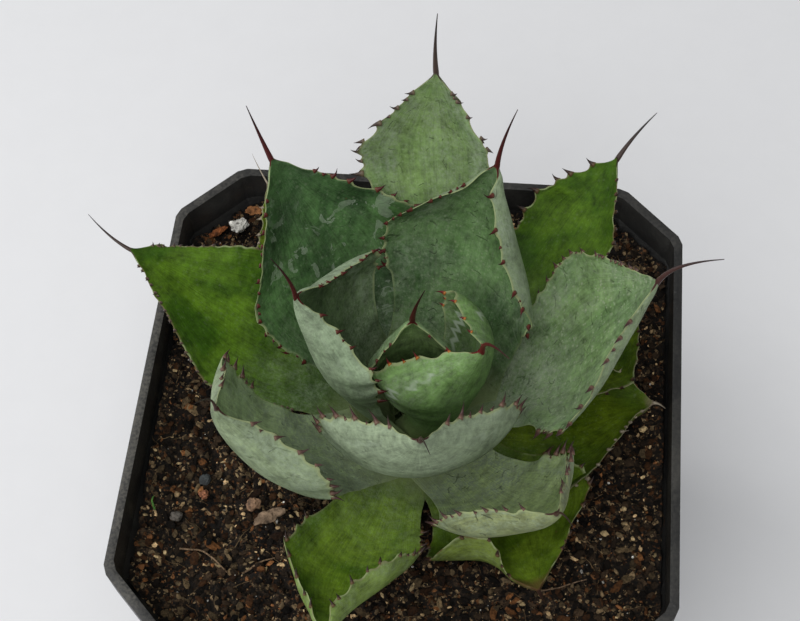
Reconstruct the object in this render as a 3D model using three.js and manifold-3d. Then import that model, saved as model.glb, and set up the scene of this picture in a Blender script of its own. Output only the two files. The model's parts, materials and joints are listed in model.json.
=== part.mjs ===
// Agave in a square nursery pot: a rosette of seventeen leaves on one short stem, standing in potting soil.
// Units are millimetres, +Z is up, and the origin is the centre of the pot's flat underside.

import * as THREE from 'three';
import { LoftGeometry } from 'three/addons/geometries/LoftGeometry.js';
import { mergeVertices } from 'three/addons/utils/BufferGeometryUtils.js';
import Module from 'manifold-3d';

// ---- driving dimensions ----

const GAP = 0.35; // clearance between pieces that touch
const POT = {
  height: 100,
  rimHalf: 60, // half the width across the rim
  rimCorner: 13.8, // how much the corners are cut off at the rim
  bandHeight: 11, // the upright band below the rim
  bandStep: 1.4, // how far the band stands proud of the wall
  baseHalf: 43,
  baseCorner: 10,
  wall: 1.9,
  floor: 2.2,
  drainRadius: 3.5,
  drainOut: 27,
};
const SOIL = { top: 90.5, dishTop: 86.5, dishRadius: 20, dishEdge: 41, plant: [2, -3] };
const STEM = [
  [0, 58], [2.5, 59], [5, 64], [7, 74], [9, 84], [10.5, 90], [10, 94], [8, 98], [5, 101], [3, 104], [0, 105],
];
const LEAF = { thick: 3.4, tipThick: 1.3, edge: 0.6, rows: 11, columns: 7, spineRadius: 1 };

// Each leaf: turn is its bearing about the stem and swing what the tip adds to it, rise the slope of its
// midrib at the foot and at the tip, half its greatest half width, lean how much wider its left half is,
// widest where that is along the length, foot the share of the width left at the foot, cup the curl of each
// half and roll the turn about the midrib (foot, tip), out and up where the midrib starts, from the stem's
// axis and from the pot's rim, and spine the bearing and the slope that the end spine adds, and its length.
// Angles are in degrees. The youngest leaf comes first: an older one gives way where two would meet.
const LEAVES = [
  {
    name: 'central_bud', turn: 110, swing: 0, rise: [91, 102], length: 35.5,
    half: 12.5, lean: 0.05, widest: 0.65, foot: 0.55, cup: [84, 57], roll: [-1, -11],
    out: 0.5, up: 6.5, spine: [43, -2, 14],
  },
  {
    name: 'leaf_young_right', turn: -25, swing: -6, rise: [58, 88], length: 41.5,
    half: 23, lean: 0, widest: 0.65, foot: 0.45, cup: [95, 110], roll: [2, -8],
    out: 4.5, up: 1, spine: [-24, -39, 15],
  },
  {
    name: 'leaf_young_left', turn: 190, swing: 2, rise: [55, 89], length: 52.5,
    half: 21, lean: -0.2, widest: 0.65, foot: 0.55, cup: [48, 99], roll: [3, 4],
    out: 5, up: 1, spine: [-4, -13, 14],
  },
  {
    name: 'leaf_inner_back', turn: 66, swing: -6, rise: [38, 80], length: 58,
    half: 23.5, lean: -0.1, widest: 0.65, foot: 0.6, cup: [12, 100], roll: [4, -9],
    out: 6, up: -1, spine: [-17, -10, 15],
  },
  {
    name: 'leaf_inner_front', turn: -80, swing: -1, rise: [44, 82], length: 64.5,
    half: 22, lean: 0, widest: 0.65, foot: 0.55, cup: [3, 81], roll: [0, -1],
    out: 6, up: -3.5, spine: [10, -30, 14],
  },
  {
    name: 'leaf_middle_back_left', turn: 133, swing: 1, rise: [41, 57], length: 62,
    half: 23, lean: -0.05, widest: 0.55, foot: 0.55, cup: [31, 40], roll: [0, 2],
    out: 6, up: -3, spine: [0, 3, 13],
  },
  {
    name: 'leaf_middle_back', turn: 81, swing: 26, rise: [37, 77], length: 75,
    half: 14, lean: 0.2, widest: 0.75, foot: 0.4, cup: [5, 36], roll: [-6, -21],
    out: 7, up: -3, spine: [-23, -1, 14],
  },
  {
    name: 'leaf_middle_right', turn: 9, swing: -4, rise: [29, 72], length: 68,
    half: 22, lean: -0.1, widest: 0.65, foot: 0.35, cup: [32, 40], roll: [4, -8],
    out: 6.5, up: -4, spine: [-14, -27, 16],
  },
  {
    name: 'leaf_middle_front_right', turn: -50, swing: -7, rise: [13, 75], length: 64.5,
    half: 17, lean: -0.1, widest: 0.7, foot: 0.5, cup: [3, 78], roll: [6, -2],
    out: 6.5, up: -5, spine: [-12, -22, 14],
  },
  {
    name: 'leaf_middle_left', turn: 219, swing: 5, rise: [17, 93], length: 69,
    half: 19.5, lean: 0.05, widest: 0.75, foot: 0.5, cup: [5, 72], roll: [-8, 3],
    out: 6.5, up: -5, spine: [35, 29, 14],
  },
  {
    name: 'leaf_outer_left', turn: 155, swing: 9, rise: [19, 23], length: 69.5,
    half: 19, lean: 0.1, widest: 0.55, foot: 0.55, cup: [19, 31], roll: [-1, 1],
    out: 6, up: -7, spine: [-14, 1, 12],
  },
  {
    name: 'leaf_outer_back_right', turn: 53, swing: -1, rise: [16, 38], length: 69.5,
    half: 12, lean: -0.15, widest: 0.75, foot: 0.5, cup: [22, 41], roll: [0, -8],
    out: 6, up: -7, spine: [-9, -3, 13],
  },
  {
    name: 'leaf_outer_front_left', turn: -105, swing: 12, rise: [-5, 53], length: 62,
    half: 16, lean: 0, widest: 0.65, foot: 0.5, cup: [3, 110], roll: [-36, 28],
    out: 6, up: -6.5, spine: [15, -10, 14],
  },
  {
    name: 'leaf_outer_front_right', turn: -48, swing: -20, rise: [3, 25], length: 46,
    half: 19.5, lean: 0.1, widest: 0.65, foot: 0.5, cup: [5, 37], roll: [15, 7],
    out: 6.5, up: -8, spine: [-5, 35, 13],
  },
  {
    name: 'leaf_old_right', turn: 10, swing: -3, rise: [-1, 5], length: 47,
    half: 21.5, lean: -0.2, widest: 0.6, foot: 0.55, cup: [3, 69], roll: [3, -6],
    out: 6, up: -6, spine: [-25, -18, 3],
  },
  {
    name: 'leaf_old_back_right', turn: 33, swing: 4, rise: [5, -2], length: 53,
    half: 17, lean: -0.15, widest: 0.7, foot: 0.55, cup: [35, 44], roll: [0, 0],
    out: 6, up: -7, spine: [-15, -16, 1],
  },
  {
    name: 'leaf_old_back_left', turn: 126, swing: 0, rise: [10, 14], length: 64,
    half: 16, lean: 0, widest: 0.6, foot: 0.55, cup: [20, 25], roll: [0, 0],
    out: 6, up: -8, spine: [-6, -15, 10],
  },
];

// Loose pieces lying on the soil: place, half the size along each axis, turn and colour.
const PIECES = [
  { name: 'perlite_lump', at: [-46.1, 48.2], size: [2.4, 1.9, 1.6], turn: 20, color: 0xdcd8cc },
  { name: 'bark_chip_back', at: [-43.2, 53.4], size: [2.4, 1.3, 0.9], turn: 8, color: 0xa3703f },
  { name: 'bark_chip_left', at: [-51.2, 46.6], size: [2.6, 1.2, 0.9], turn: 35, color: 0x96552c },
  { name: 'bark_chip_front', at: [-27.9, -27.5], size: [4, 1.7, 0.8], turn: 30, color: 0x8a6a48 },
  { name: 'pebble_tan', at: [-31.7, -25.2], size: [1.7, 1.6, 1.3], turn: 0, color: 0xb08a62 },
  { name: 'pebble_slate', at: [-43.6, -19.8], size: [1.4, 1.3, 0.9], turn: 50, color: 0x565a5c },
  { name: 'pebble_beige', at: [-48.8, 7.5], size: [1.2, 1.1, 1], turn: 15, color: 0xcfb48e },
  { name: 'pebble_grey', at: [-48.4, -29.1], size: [1.6, 1.4, 1], turn: 30, color: 0x9a958c },
  { name: 'brick_chip_right', at: [51.1, 34.4], size: [1.9, 1.1, 0.9], turn: -10, color: 0x8c4a26 },
  { name: 'brick_chip_left', at: [-43.4, -23.4], size: [1.2, 1.1, 0.9], turn: 60, color: 0x95522c },
];

const COLOURS = { leaf_outer: 0x55821f, leaf_old: 0x5d7a22, leaf_middle: 0x5f8060, leaf_inner: 0x54785a };

const rad = THREE.MathUtils.degToRad;
const { lerp, clamp } = THREE.MathUtils;
const wasm = await Module();
wasm.setup();

// ---- solids in and out of the boolean library ----

function solidOf(geometry) {
  const plain = new THREE.BufferGeometry();
  plain.setAttribute('position', geometry.attributes.position);
  plain.setIndex(geometry.index);
  const merged = mergeVertices(plain, 1e-4);
  const vertProperties = new Float32Array(merged.attributes.position.array);
  const triVerts = new Uint32Array(merged.index.array);
  const solid = new wasm.Manifold(new wasm.Mesh({ numProp: 3, vertProperties, triVerts }));
  if (solid.volume() > 0) {
    return solid;
  }
  for (let i = 0; i < triVerts.length; i += 3) {
    [triVerts[i], triVerts[i + 1]] = [triVerts[i + 1], triVerts[i]];
  }
  return new wasm.Manifold(new wasm.Mesh({ numProp: 3, vertProperties, triVerts }));
}

function geometryOf(solid) {
  const mesh = solid.getMesh();
  const geometry = new THREE.BufferGeometry();
  geometry.setAttribute('position', new THREE.BufferAttribute(mesh.vertProperties, 3));
  geometry.setIndex(new THREE.BufferAttribute(mesh.triVerts, 1));
  return geometry;
}

// A cut can leave slivers behind: only the largest body is the piece.
function largestBody(solid) {
  const bodies = solid.simplify(0.05).decompose();
  return bodies.reduce((best, body) => (body.volume() > best.volume() ? body : best));
}

const agave = new THREE.Group();

function place(name, solid, color, roughness) {
  const material = new THREE.MeshStandardMaterial({ color, roughness, metalness: 0 });
  const mesh = new THREE.Mesh(geometryOf(solid), material);
  mesh.name = name;
  agave.add(mesh);
}

// ---- the pot: a tapered square tub with cut, softened corners ----

function cutSquare(half, corner, z) {
  const soft = 1.3;
  const points = [];
  for (let side = 0; side < 4; side += 1) {
    const from = new THREE.Vector2(half, -half + corner);
    const to = new THREE.Vector2(half, half - corner);
    const slant = (soft * Math.SQRT2) / 2;
    const ring = [
      [from.x - slant, from.y - slant],
      [from.x, from.y + soft],
      [to.x, to.y - soft],
      [to.x - slant, to.y + slant],
    ];
    for (const [x, y] of ring) {
      const spot = new THREE.Vector2(x, y).rotateAround(new THREE.Vector2(), (side * Math.PI) / 2);
      points.push(new THREE.Vector3(spot.x, spot.y, z));
    }
  }
  return points;
}

function tub(rings) {
  const sections = rings.map(([half, corner, z]) => cutSquare(half, corner, z));
  return solidOf(new LoftGeometry(sections, { capStart: true, capEnd: true }));
}

const bandFoot = POT.height - POT.bandHeight;
const wallHalf = POT.rimHalf - POT.bandStep;
const wallAt = (z) => lerp(POT.baseHalf, wallHalf - 0.8, z / bandFoot);

function makePot() {
  const outside = tub([
    [POT.baseHalf - 1, POT.baseCorner, 0],
    [POT.baseHalf, POT.baseCorner, 1.5],
    [wallAt(bandFoot), POT.rimCorner, bandFoot],
    [POT.rimHalf - 0.4, POT.rimCorner, bandFoot + 1.2],
    [POT.rimHalf, POT.rimCorner, POT.height],
  ]);
  const inside = tub([
    [wallAt(POT.floor) - POT.wall, POT.baseCorner, POT.floor],
    [wallAt(bandFoot) - POT.wall, POT.rimCorner - 0.8, bandFoot - 1],
    [POT.rimHalf - POT.wall - 0.4, POT.rimCorner - 0.8, bandFoot + 3],
    [POT.rimHalf - POT.wall, POT.rimCorner - 0.8, POT.height + 1],
  ]);
  let pot = outside.subtract(inside);
  for (const [x, y] of [[1, 1], [-1, 1], [-1, -1], [1, -1]]) {
    const drain = new THREE.CylinderGeometry(POT.drainRadius, POT.drainRadius, 8, 16);
    drain.rotateX(Math.PI / 2);
    drain.translate(x * POT.drainOut, y * POT.drainOut, 0);
    pot = pot.subtract(solidOf(drain));
  }
  return pot;
}

// ---- the stem: one spindle from the root tip to the growing point ----

function makeStem(grow) {
  const profile = STEM.map(([r, z], i) => {
    const last = STEM.length - 1;
    const endShift = (i === 0 ? -grow : 0) + (i === last ? grow : 0);
    return new THREE.Vector2(r > 0 ? r + grow : 0, z + endShift);
  });
  const stem = new THREE.LatheGeometry(profile, 20);
  stem.rotateX(Math.PI / 2);
  stem.translate(SOIL.plant[0], SOIL.plant[1], 0);
  return solidOf(stem);
}

// ---- a leaf: sections along a rising midrib, closed round into the end spine ----

// Width along the blade: a narrow foot that swells to full width, then a taper drawn out to the tip.
function widthAt(leaf, s) {
  if (s < leaf.widest) {
    const swell = Math.sin(clamp(s / leaf.widest, 0, 1) * (Math.PI / 2)) ** 4;
    return leaf.half * (leaf.foot + (1 - leaf.foot) * swell);
  }
  const fall = (s - leaf.widest) / (1 - leaf.widest);
  return leaf.half * (0.035 + 0.965 * (1 - fall ** 1.5) * (1 - 0.45 * fall ** 1.5));
}

function directions(bearing, slope) {
  const along = new THREE.Vector3(
    Math.cos(bearing) * Math.cos(slope), Math.sin(bearing) * Math.cos(slope), Math.sin(slope));
  const left = new THREE.Vector3(-Math.sin(bearing), Math.cos(bearing), 0);
  const face = new THREE.Vector3().crossVectors(along, left);
  return { along, left, face };
}

function bladeFrame(leaf, s) {
  const bearing = rad(leaf.turn + leaf.swing * s ** 1.5);
  const slope = rad(lerp(leaf.rise[0], leaf.rise[1], s));
  const { along, left, face } = directions(bearing, slope);
  const roll = rad(lerp(leaf.roll[0], leaf.roll[1], s));
  return { along, left: left.applyAxisAngle(along, roll), face: face.applyAxisAngle(along, roll) };
}

function midribPoint(leaf, s) {
  const turn = rad(leaf.turn);
  const point = new THREE.Vector3(Math.cos(turn), Math.sin(turn), 0).multiplyScalar(leaf.out);
  point.add(new THREE.Vector3(SOIL.plant[0], SOIL.plant[1], POT.height + leaf.up));
  const steps = 32;
  for (let i = 0; i < steps; i += 1) {
    point.addScaledVector(bladeFrame(leaf, (s * (i + 0.5)) / steps).along, (leaf.length * s) / steps);
  }
  return point;
}

// One closed ring across the blade, from its left margin over the upper face and back underneath.
function bladeSection(leaf, s, grow) {
  const { left, face } = bladeFrame(leaf, s);
  const centre = midribPoint(leaf, s);
  const half = widthAt(leaf, s) + grow;
  const curl = Math.max(rad(lerp(leaf.cup[0], leaf.cup[1], s)), 0.02);
  const thick = lerp(LEAF.thick, LEAF.tipThick, s);
  const ring = [];
  for (const under of [false, true]) {
    for (let i = 0; i < LEAF.columns; i += 1) {
      const t = (1 - (2 * i) / (LEAF.columns - 1)) * (under ? -1 : 1);
      const reach = (half * (1 + leaf.lean * Math.tanh(3 * t))) / curl;
      const depth = LEAF.edge + (thick - LEAF.edge) * (1 - t * t) + grow;
      const shift = under ? -depth : grow;
      ring.push(centre.clone()
        .addScaledVector(left, reach * Math.sin(curl * t) - shift * Math.sin(curl * t))
        .addScaledVector(face, reach * (1 - Math.cos(curl * t)) + shift * Math.cos(curl * t)));
    }
  }
  return ring;
}

function spineSection(leaf, f, grow) {
  const { along } = bladeFrame(leaf, 1);
  const slope = Math.asin(along.z);
  const bearing = Math.atan2(along.y, along.x);
  const end = directions(bearing + rad(leaf.spine[0]), slope + rad(leaf.spine[1]));
  const centre = midribPoint(leaf, 1).addScaledVector(end.along, leaf.spine[2] * f);
  const radius = lerp(LEAF.spineRadius, 0.18, f) + grow;
  const { left, face } = bladeFrame(leaf, 1);
  const ring = [];
  for (const under of [0, Math.PI]) {
    for (let i = 0; i < LEAF.columns; i += 1) {
      const angle = under + rad(12 + (156 * i) / (LEAF.columns - 1));
      ring.push(centre.clone()
        .addScaledVector(left, radius * Math.cos(angle))
        .addScaledVector(face, radius * Math.sin(angle) - LEAF.tipThick / 2));
    }
  }
  return ring;
}

function makeLeaf(leaf, grow = 0) {
  const sections = [];
  for (let i = 0; i <= LEAF.rows; i += 1) {
    sections.push(bladeSection(leaf, i / LEAF.rows, grow));
  }
  for (const f of [0.12, 0.55, 1]) {
    sections.push(spineSection(leaf, f, grow));
  }
  return solidOf(new LoftGeometry(sections, { capStart: true, capEnd: true }));
}

// ---- the soil: fills the pot, dished under the rosette, with a socket for the stem ----

function makeSoil(leafClearance) {
  const clear = POT.wall + GAP;
  const widening = (SOIL.top - (bandFoot - 1)) / 4; // how far up the pot's step the soil reaches
  const topHalf = lerp(wallAt(bandFoot), POT.rimHalf - 0.4, widening) - clear;
  let soil = tub([
    [wallAt(POT.floor) - clear, POT.baseCorner, POT.floor + GAP],
    [wallAt(bandFoot) - clear, POT.rimCorner - 0.8, bandFoot - 1],
    [topHalf, POT.rimCorner - 0.8, SOIL.top],
  ]);
  const dish = new THREE.CylinderGeometry(SOIL.dishEdge, SOIL.dishRadius, SOIL.top - SOIL.dishTop, 24);
  dish.rotateX(Math.PI / 2);
  dish.translate(SOIL.plant[0], SOIL.plant[1], (SOIL.top + SOIL.dishTop) / 2);
  soil = soil.subtract(solidOf(dish)).subtract(makeStem(GAP)).subtract(leafClearance);
  return largestBody(soil);
}

function makePiece(piece) {
  const shape = new THREE.IcosahedronGeometry(1, 1);
  const spot = shape.attributes.position;
  for (let i = 0; i < spot.count; i += 1) {
    const wave = Math.sin(5 * spot.getX(i) + piece.turn) * Math.cos(4 * spot.getY(i) + 3 * spot.getZ(i));
    const bump = 1 + 0.12 * wave;
    spot.setXYZ(i, spot.getX(i) * bump, spot.getY(i) * bump, spot.getZ(i) * bump);
  }
  shape.scale(piece.size[0], piece.size[1], piece.size[2]);
  shape.rotateZ(rad(piece.turn));
  shape.computeBoundingBox();
  shape.translate(piece.at[0], piece.at[1], SOIL.top + GAP - shape.boundingBox.min.z);
  return solidOf(shape);
}

// ---- assembly ----

const stem = makeStem(0);
let taken = makeStem(GAP);
for (const leaf of LEAVES) {
  const blade = largestBody(makeLeaf(leaf).subtract(taken));
  taken = taken.add(makeLeaf(leaf, GAP));
  const kind = Object.keys(COLOURS).find((key) => leaf.name.startsWith(key));
  place(leaf.name, blade, kind ? COLOURS[kind] : 0x6f9a55, 0.6);
}
place('nursery_pot', makePot(), 0x1d1f1e, 0.55);
place('potting_soil', makeSoil(taken), 0x2b1f17, 0.95);
place('stem', stem, 0x8f9a72, 0.8);
for (const piece of PIECES) {
  place(piece.name, makePiece(piece), piece.color, 0.9);
}

export default agave;
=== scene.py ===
import json
import math

import bmesh
import bpy
import numpy as np
from mathutils import Matrix, Vector


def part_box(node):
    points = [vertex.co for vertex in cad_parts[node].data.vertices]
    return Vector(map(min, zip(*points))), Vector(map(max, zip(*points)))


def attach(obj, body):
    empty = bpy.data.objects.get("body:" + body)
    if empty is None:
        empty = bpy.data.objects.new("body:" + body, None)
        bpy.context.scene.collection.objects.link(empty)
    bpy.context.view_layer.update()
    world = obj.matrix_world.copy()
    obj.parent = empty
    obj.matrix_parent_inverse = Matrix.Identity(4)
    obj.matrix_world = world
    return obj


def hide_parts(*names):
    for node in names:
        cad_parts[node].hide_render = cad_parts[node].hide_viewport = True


bl_info = {
    "name": "Potted agave",
    "version": (1, 0, 0),
    "blender": (4, 5, 0),
    "location": "View3D > Sidebar > Agave",
    "description": "Builds the leaves, spines, soil and pot of a potted agave around its frame",
    "category": "Object",
}

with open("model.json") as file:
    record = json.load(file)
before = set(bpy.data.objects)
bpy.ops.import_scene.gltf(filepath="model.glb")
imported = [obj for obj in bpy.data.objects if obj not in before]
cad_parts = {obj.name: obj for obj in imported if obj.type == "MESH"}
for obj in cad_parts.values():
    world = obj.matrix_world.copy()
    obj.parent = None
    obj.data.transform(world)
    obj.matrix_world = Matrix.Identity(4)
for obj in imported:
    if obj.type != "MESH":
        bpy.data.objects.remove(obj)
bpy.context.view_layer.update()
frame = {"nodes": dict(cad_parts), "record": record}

MM = 0.001
SOIL_LOW, SOIL_HIGH = (np.array(corner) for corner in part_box("potting_soil"))
STEM_LOW, STEM_HIGH = (np.array(corner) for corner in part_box("stem"))
PLANT = (STEM_LOW[:2] + STEM_HIGH[:2]) / 2  # where the stem's axis stands
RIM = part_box("nursery_pot")[1][2]
SLOTS = {row["node"]: row["material_slot"] for row in frame["record"]["subparts"]}

# The blade's thickness and its end spine, in millimetres.
BLADE = {"thick": 3.4, "tip": 1.3, "edge": 0.6, "spine": 1.0}

# Each leaf, youngest first, in degrees and millimetres:
# turn is its bearing about the stem and swing what the tip adds to it; rise is the slope of its midrib at
# the foot and at the tip; half is its half width before the cupping, lean how much wider its left half is,
# widest where the width is full and foot the share of it at the foot; cup is the curl of each half and roll
# the turn about the midrib, at foot and tip; out and up say where the midrib starts, from the stem's axis
# and from the pot's rim; spine is the bearing and the slope that the end spine adds, and its length; stout
# is the spine's share of the usual girth. look names its skin and horn its teeth. teeth gives, for the left
# and then the right margin, where the row starts and ends along the length, its pitch and the size of its
# teeth. fold is a margin that has curled up on its own: its side, the middle and the spread along the
# length, and its angle.
LEAVES = [
    dict(name="central_bud", turn=110, swing=0, rise=(91, 102), length=35.5, half=12.5, lean=0.05,
         widest=0.65, foot=0.55, cup=(84, 57), roll=(-1, -11), out=0.5, up=6.5, spine=(43, -2, 14),
         stout=1, look="bud", horn="red", teeth=((0.5, 0.93, 3.4, 0.5), (0.5, 0.93, 3.4, 0.5))),
    dict(name="leaf_young_right", turn=-25, swing=-6, rise=(58, 88), length=41.5, half=23, lean=0,
         widest=0.65, foot=0.45, cup=(95, 110), roll=(2, -8), out=4.5, up=1, spine=(-24, -39, 15),
         stout=1, look="young", horn="flame", teeth=((0.45, 0.95, 4.0, 0.75), (0.45, 0.95, 4.2, 0.95))),
    dict(name="leaf_young_left", turn=190, swing=2, rise=(55, 89), length=52.5, half=21, lean=-0.2,
         widest=0.65, foot=0.55, cup=(48, 99), roll=(3, 4), out=5, up=1, spine=(-4, -13, 14),
         stout=1, look="young_pale", horn="red", teeth=((0.4, 0.93, 4.2, 0.85), (0.5, 0.95, 3.6, 0.7))),
    dict(name="leaf_inner_back", turn=66, swing=-6, rise=(38, 80), length=58, half=23.5, lean=-0.1,
         widest=0.65, foot=0.6, cup=(12, 100), roll=(4, -9), out=6, up=-1, spine=(-17, -10, 15),
         stout=1, look="deep", horn="red", teeth=((0.42, 0.92, 3.2, 0.8), (0.42, 0.95, 4.6, 1.0))),
    dict(name="leaf_inner_front", turn=-80, swing=-1, rise=(44, 82), length=64.5, half=22, lean=0,
         widest=0.65, foot=0.55, cup=(3, 81), roll=(0, -1), out=6, up=-3.5, spine=(10, -30, 14),
         stout=0.6, look="pale_back", horn="rose", teeth=((0.5, 0.92, 3.8, 1.25), (0.5, 0.92, 3.8, 1.25))),
    dict(name="leaf_middle_back_left", turn=133, swing=1, rise=(41, 57), length=62, half=23, lean=-0.05,
         widest=0.55, foot=0.55, cup=(31, 40), roll=(0, 2), out=6, up=-3, spine=(0, 3, 13),
         stout=1, look="spotted", horn="red", teeth=((0.3, 0.9, 3.0, 0.7), (0.35, 0.9, 4.0, 0.95))),
    dict(name="leaf_middle_back", turn=81, swing=26, rise=(37, 77), length=75, half=14, lean=0.2,
         widest=0.75, foot=0.4, cup=(5, 36), roll=(-6, -21), out=7, up=-3, spine=(-23, -1, 14),
         stout=1, look="bloomed", horn="grey", teeth=((0.42, 0.96, 4.6, 1.15), (0.45, 0.96, 4.0, 0.85))),
    dict(name="leaf_middle_right", turn=9, swing=-4, rise=(29, 72), length=68, half=22, lean=-0.1,
         widest=0.65, foot=0.35, cup=(32, 40), roll=(4, -8), out=6.5, up=-4, spine=(-14, -27, 16),
         stout=1, look="flecked", horn="rose", teeth=((0.4, 0.93, 2.8, 0.65), (0.4, 0.93, 3.9, 1.15))),
    dict(name="leaf_middle_front_right", turn=-50, swing=-7, rise=(13, 75), length=64.5, half=17, lean=-0.1,
         widest=0.7, foot=0.5, cup=(3, 78), roll=(6, -2), out=6.5, up=-5, spine=(-12, -22, 14),
         stout=0.6, look="wrinkled", horn="rose", teeth=((0.45, 0.93, 3.4, 1.1), (0.5, 0.94, 3.4, 1.0))),
    dict(name="leaf_middle_left", turn=219, swing=5, rise=(17, 93), length=69, half=19.5, lean=0.05,
         widest=0.75, foot=0.5, cup=(5, 72), roll=(-8, 3), out=6.5, up=-5, spine=(35, 29, 14),
         stout=0.6, look="pale_edge", horn="rose", teeth=((0.5, 0.95, 3.8, 1.0), (0.5, 0.93, 3.8, 1.0))),
    dict(name="leaf_outer_left", turn=155, swing=9, rise=(19, 23), length=69.5, half=19, lean=0.1,
         widest=0.55, foot=0.55, cup=(19, 31), roll=(-1, 1), out=6, up=-7, spine=(-14, 1, 12),
         stout=0.75, look="bright", horn="grey", teeth=((0.25, 0.95, 2.2, 0.42), (0.3, 0.95, 2.1, 0.40))),
    dict(name="leaf_outer_back_right", turn=53, swing=-1, rise=(16, 38), length=69.5, half=12, lean=-0.15,
         widest=0.75, foot=0.5, cup=(22, 41), roll=(0, -8), out=6, up=-7, spine=(-9, -3, 13),
         stout=1, look="bright", horn="dark", teeth=((0.5, 0.95, 4.4, 1.05), (0.5, 0.96, 3.6, 0.7))),
    dict(name="leaf_outer_front_left", turn=-105, swing=12, rise=(-5, 53), length=62, half=16, lean=0,
         widest=0.65, foot=0.5, cup=(3, 110), roll=(-36, 28), out=6, up=-6.5, spine=(15, -10, 14),
         stout=0.7, look="patched", horn="dark", teeth=((0.3, 0.95, 3.8, 0.8), (0.45, 0.93, 4.0, 0.9))),
    dict(name="leaf_outer_front_right", turn=-48, swing=-20, rise=(3, 25), length=46, half=19.5, lean=0.1,
         widest=0.65, foot=0.5, cup=(5, 37), roll=(15, 7), out=6.5, up=-8, spine=(-5, 35, 13),
         stout=0.7, fold=(-1, 0.78, 0.13, 95),
         look="burnt", horn="dark", teeth=((0.4, 0.9, 3.4, 0.75), (0.4, 0.92, 3.6, 0.85))),
    dict(name="leaf_old_right", turn=10, swing=-3, rise=(-1, 5), length=47, half=21.5, lean=-0.2,
         widest=0.6, foot=0.55, cup=(3, 69), roll=(3, -6), out=6, up=-6, spine=(-25, -18, 3),
         stout=0.7, look="old", horn="pale", teeth=((0.4, 0.93, 3.4, 0.75), (0.35, 0.95, 3.0, 0.8))),
    dict(name="leaf_old_back_right", turn=33, swing=4, rise=(5, -2), length=53, half=17, lean=-0.15,
         widest=0.7, foot=0.55, cup=(35, 44), roll=(0, 0), out=6, up=-7, spine=(-15, -16, 1),
         stout=0.6, look="old", horn="dark", teeth=((0.4, 0.93, 3.6, 0.6), (0.4, 0.93, 3.6, 0.6))),
    dict(name="leaf_old_back_left", turn=126, swing=0, rise=(10, 14), length=64, half=16, lean=0,
         widest=0.6, foot=0.55, cup=(20, 25), roll=(0, 0), out=6, up=-8, spine=(-6, -15, 10),
         stout=0.35, look="old", horn="pale", teeth=((0.4, 0.93, 3.6, 0.6), (0.4, 0.93, 3.6, 0.6))),
]

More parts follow.
